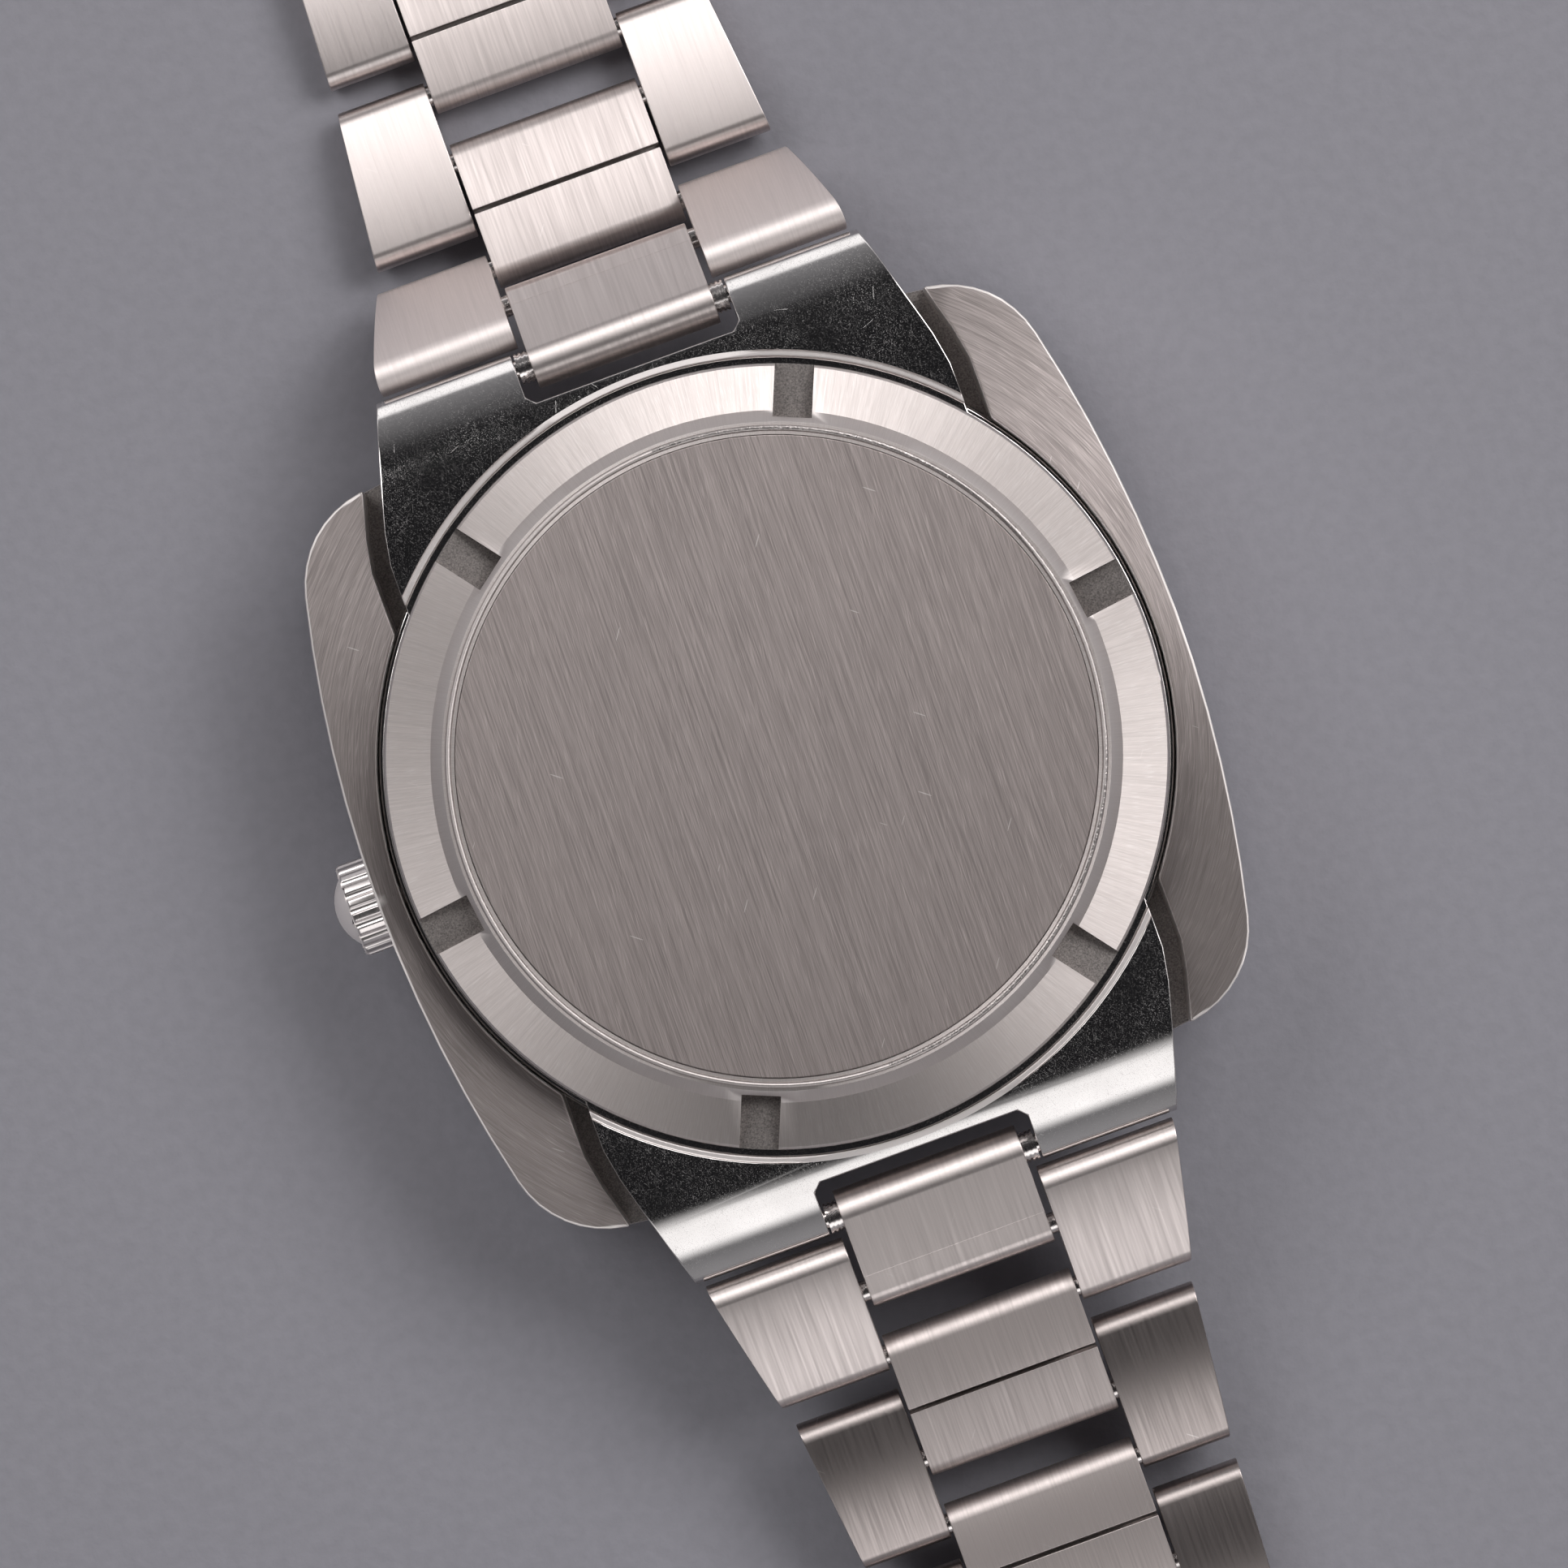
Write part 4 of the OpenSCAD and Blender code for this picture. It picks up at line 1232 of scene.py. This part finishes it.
@dataclass
class Studio:
    """The camera, the lamps and the floor."""

    distance: float = 370.0
    frame_width: float = 65.3
    turn: float = -20.0
    aim: tuple[float, float] = (-0.107, -1.184)
    sensor: float = 36.0
    floor_size: float = 4.0
    floor_colour: Colour = (0.235, 0.228, 0.254)
    fibre_scale: float = 1.6
    fibre_shade: float = 0.94
    fibre_depth: float = 0.05
    paper_rough: float = 0.9
    sky_strength: float = 0.8
    sky_low: Colour = (0.50, 0.50, 0.52)
    sky_high: Colour = (0.02, 0.02, 0.022)
    sky_high_from: float = 0.75
    spread: float = 1.43
    full_to: float = 0.4
    lamps: tuple[Softbox, ...] = (
        Softbox("right_softbox", 32.0, 41.0, 0.62, (0.36, 0.34), 1.5),
        Softbox("side_softbox", 58.0, 45.0, 0.62, (0.30, 0.30), 1.6),
        Softbox("left_softbox", -58.0, 45.0, 0.62, (0.36, 0.34), 1.5),
        Softbox("foot_softbox", 165.0, 51.0, 0.62, (0.54, 0.34), 0.9, True),
        Softbox("far_softbox", -12.0, 85.5, 0.80, (0.90, 0.11), 0.42, True),
    )

    def build(self) -> None:
        """Sets up the studio."""
        self.build_camera()
        self.build_floor()
        self.build_world()
        for softbox in self.lamps:
            self.add_lamp(softbox)

    def build_camera(self) -> None:
        """Hangs the camera straight above the watch, turned as in the photograph."""
        data = bpy.data.cameras.new("camera")
        data.sensor_width = self.sensor
        data.lens = self.sensor * self.distance / self.frame_width
        camera = bpy.data.objects.new("camera", data)
        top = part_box("back_disc")[1].z
        camera.location = (self.aim[0] * MM, self.aim[1] * MM, top + self.distance * MM)
        camera.rotation_euler = Euler((0, 0, math.radians(self.turn)))
        bpy.context.scene.collection.objects.link(camera)
        bpy.context.scene.camera = camera

    def build_floor(self) -> None:
        """Lays a sheet of pale grey paper under the watch."""
        bpy.ops.object.select_all(action="DESELECT")
        bpy.ops.mesh.primitive_plane_add(size=self.floor_size)
        floor = bpy.context.object
        floor.name = "floor"
        graph = Graph("paper")
        fibre = graph.noise(graph.place(), self.fibre_scale, 4.0)
        dark = shade(self.floor_colour, self.fibre_shade)
        graph.set(
            Base_Color=graph.blend(graph.span(fibre, 0.35, 0.65), dark, self.floor_colour),
            Roughness=self.paper_rough, Normal=graph.relief(fibre, self.fibre_depth),
        )
        floor.data.materials.append(graph.material)

    def build_world(self) -> None:
        """Makes surroundings that are pale at the horizon and dark overhead."""
        world = bpy.data.worlds.new("surroundings")
        bpy.context.scene.world = world
        world.use_nodes = True
        tree = world.node_tree
        background = tree.nodes["Background"]
        ramp = tree.nodes.new("ShaderNodeValToRGB")
        split = tree.nodes.new("ShaderNodeSeparateXYZ")
        where = tree.nodes.new("ShaderNodeTexCoord")
        tree.links.new(where.outputs["Generated"], split.inputs[0])
        tree.links.new(split.outputs[2], ramp.inputs[0])
        tree.links.new(ramp.outputs[0], background.inputs[0])
        background.inputs[1].default_value = self.sky_strength
        low, high = ramp.color_ramp.elements
        low.position, low.color = 0.0, (*self.sky_low, 1)
        high.position, high.color = self.sky_high_from, (*self.sky_high, 1)

    def add_lamp(self, softbox: Softbox) -> None:
        """Adds a lamp that faces the watch.

        Args:
            softbox: What the lamp is like and where it stands.
        """
        data = bpy.data.lights.new(softbox.name, "AREA")
        data.shape = "RECTANGLE"
        data.size, data.size_y = softbox.size
        data.energy = softbox.power
        if softbox.soft:
            data.size, data.size_y = (side * self.spread for side in softbox.size)
            data.energy = softbox.power * self.spread ** 2
            self.soften(data)
        lamp = bpy.data.objects.new(softbox.name, data)
        bearing = math.radians(softbox.bearing - self.turn)
        flat = softbox.distance * math.sin(math.radians(softbox.tilt))
        height = softbox.distance * math.cos(math.radians(softbox.tilt))
        lamp.location = (flat * math.sin(bearing), flat * math.cos(bearing), height)
        lamp.rotation_euler = (-lamp.location).to_track_quat("-Z", "Y").to_euler()
        bpy.context.scene.collection.objects.link(lamp)

    def soften(self, data: bpy.types.AreaLight) -> None:
        """Lets a softbox fade from its middle to its edges.

        Args:
            data: The lamp's data.
        """
        data.use_nodes = True
        tree = data.node_tree
        glow = tree.nodes["Emission"]
        where = tree.nodes.new("ShaderNodeNewGeometry")
        split = tree.nodes.new("ShaderNodeSeparateXYZ")
        tree.links.new(where.outputs["Parametric"], split.inputs[0])
        both = tree.nodes.new("ShaderNodeMath")
        both.operation = "MULTIPLY"
        for axis in range(2):
            offset = tree.nodes.new("ShaderNodeMath")
            offset.operation = "SUBTRACT"
            offset.inputs[1].default_value = 0.5
            tree.links.new(split.outputs[axis], offset.inputs[0])
            away = tree.nodes.new("ShaderNodeMath")
            away.operation = "ABSOLUTE"
            tree.links.new(offset.outputs[0], away.inputs[0])
            fade = tree.nodes.new("ShaderNodeMapRange")
            fade.interpolation_type = "SMOOTHSTEP"
            fade.inputs["From Min"].default_value = self.full_to / 2
            fade.inputs["From Max"].default_value = 0.5
            fade.inputs["To Min"].default_value = 1.0
            fade.inputs["To Max"].default_value = 0.0
            tree.links.new(away.outputs[0], fade.inputs["Value"])
            tree.links.new(fade.outputs["Result"], both.inputs[axis])
        tree.links.new(both.outputs[0], glow.inputs["Strength"])


def main() -> None:
    """Builds the watch's looks and its studio."""
    logging.basicConfig(level=logging.INFO, format="%(message)s")
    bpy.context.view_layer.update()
    finishes = Finishes()
    for assembly in (Case, Winding, DialSide, Movement, Bracelet, Clasp):
        assembly(finishes).build()
    Studio().build()
    bpy.context.scene.view_settings.view_transform = "Standard"


if __name__ == "__main__":
    main()
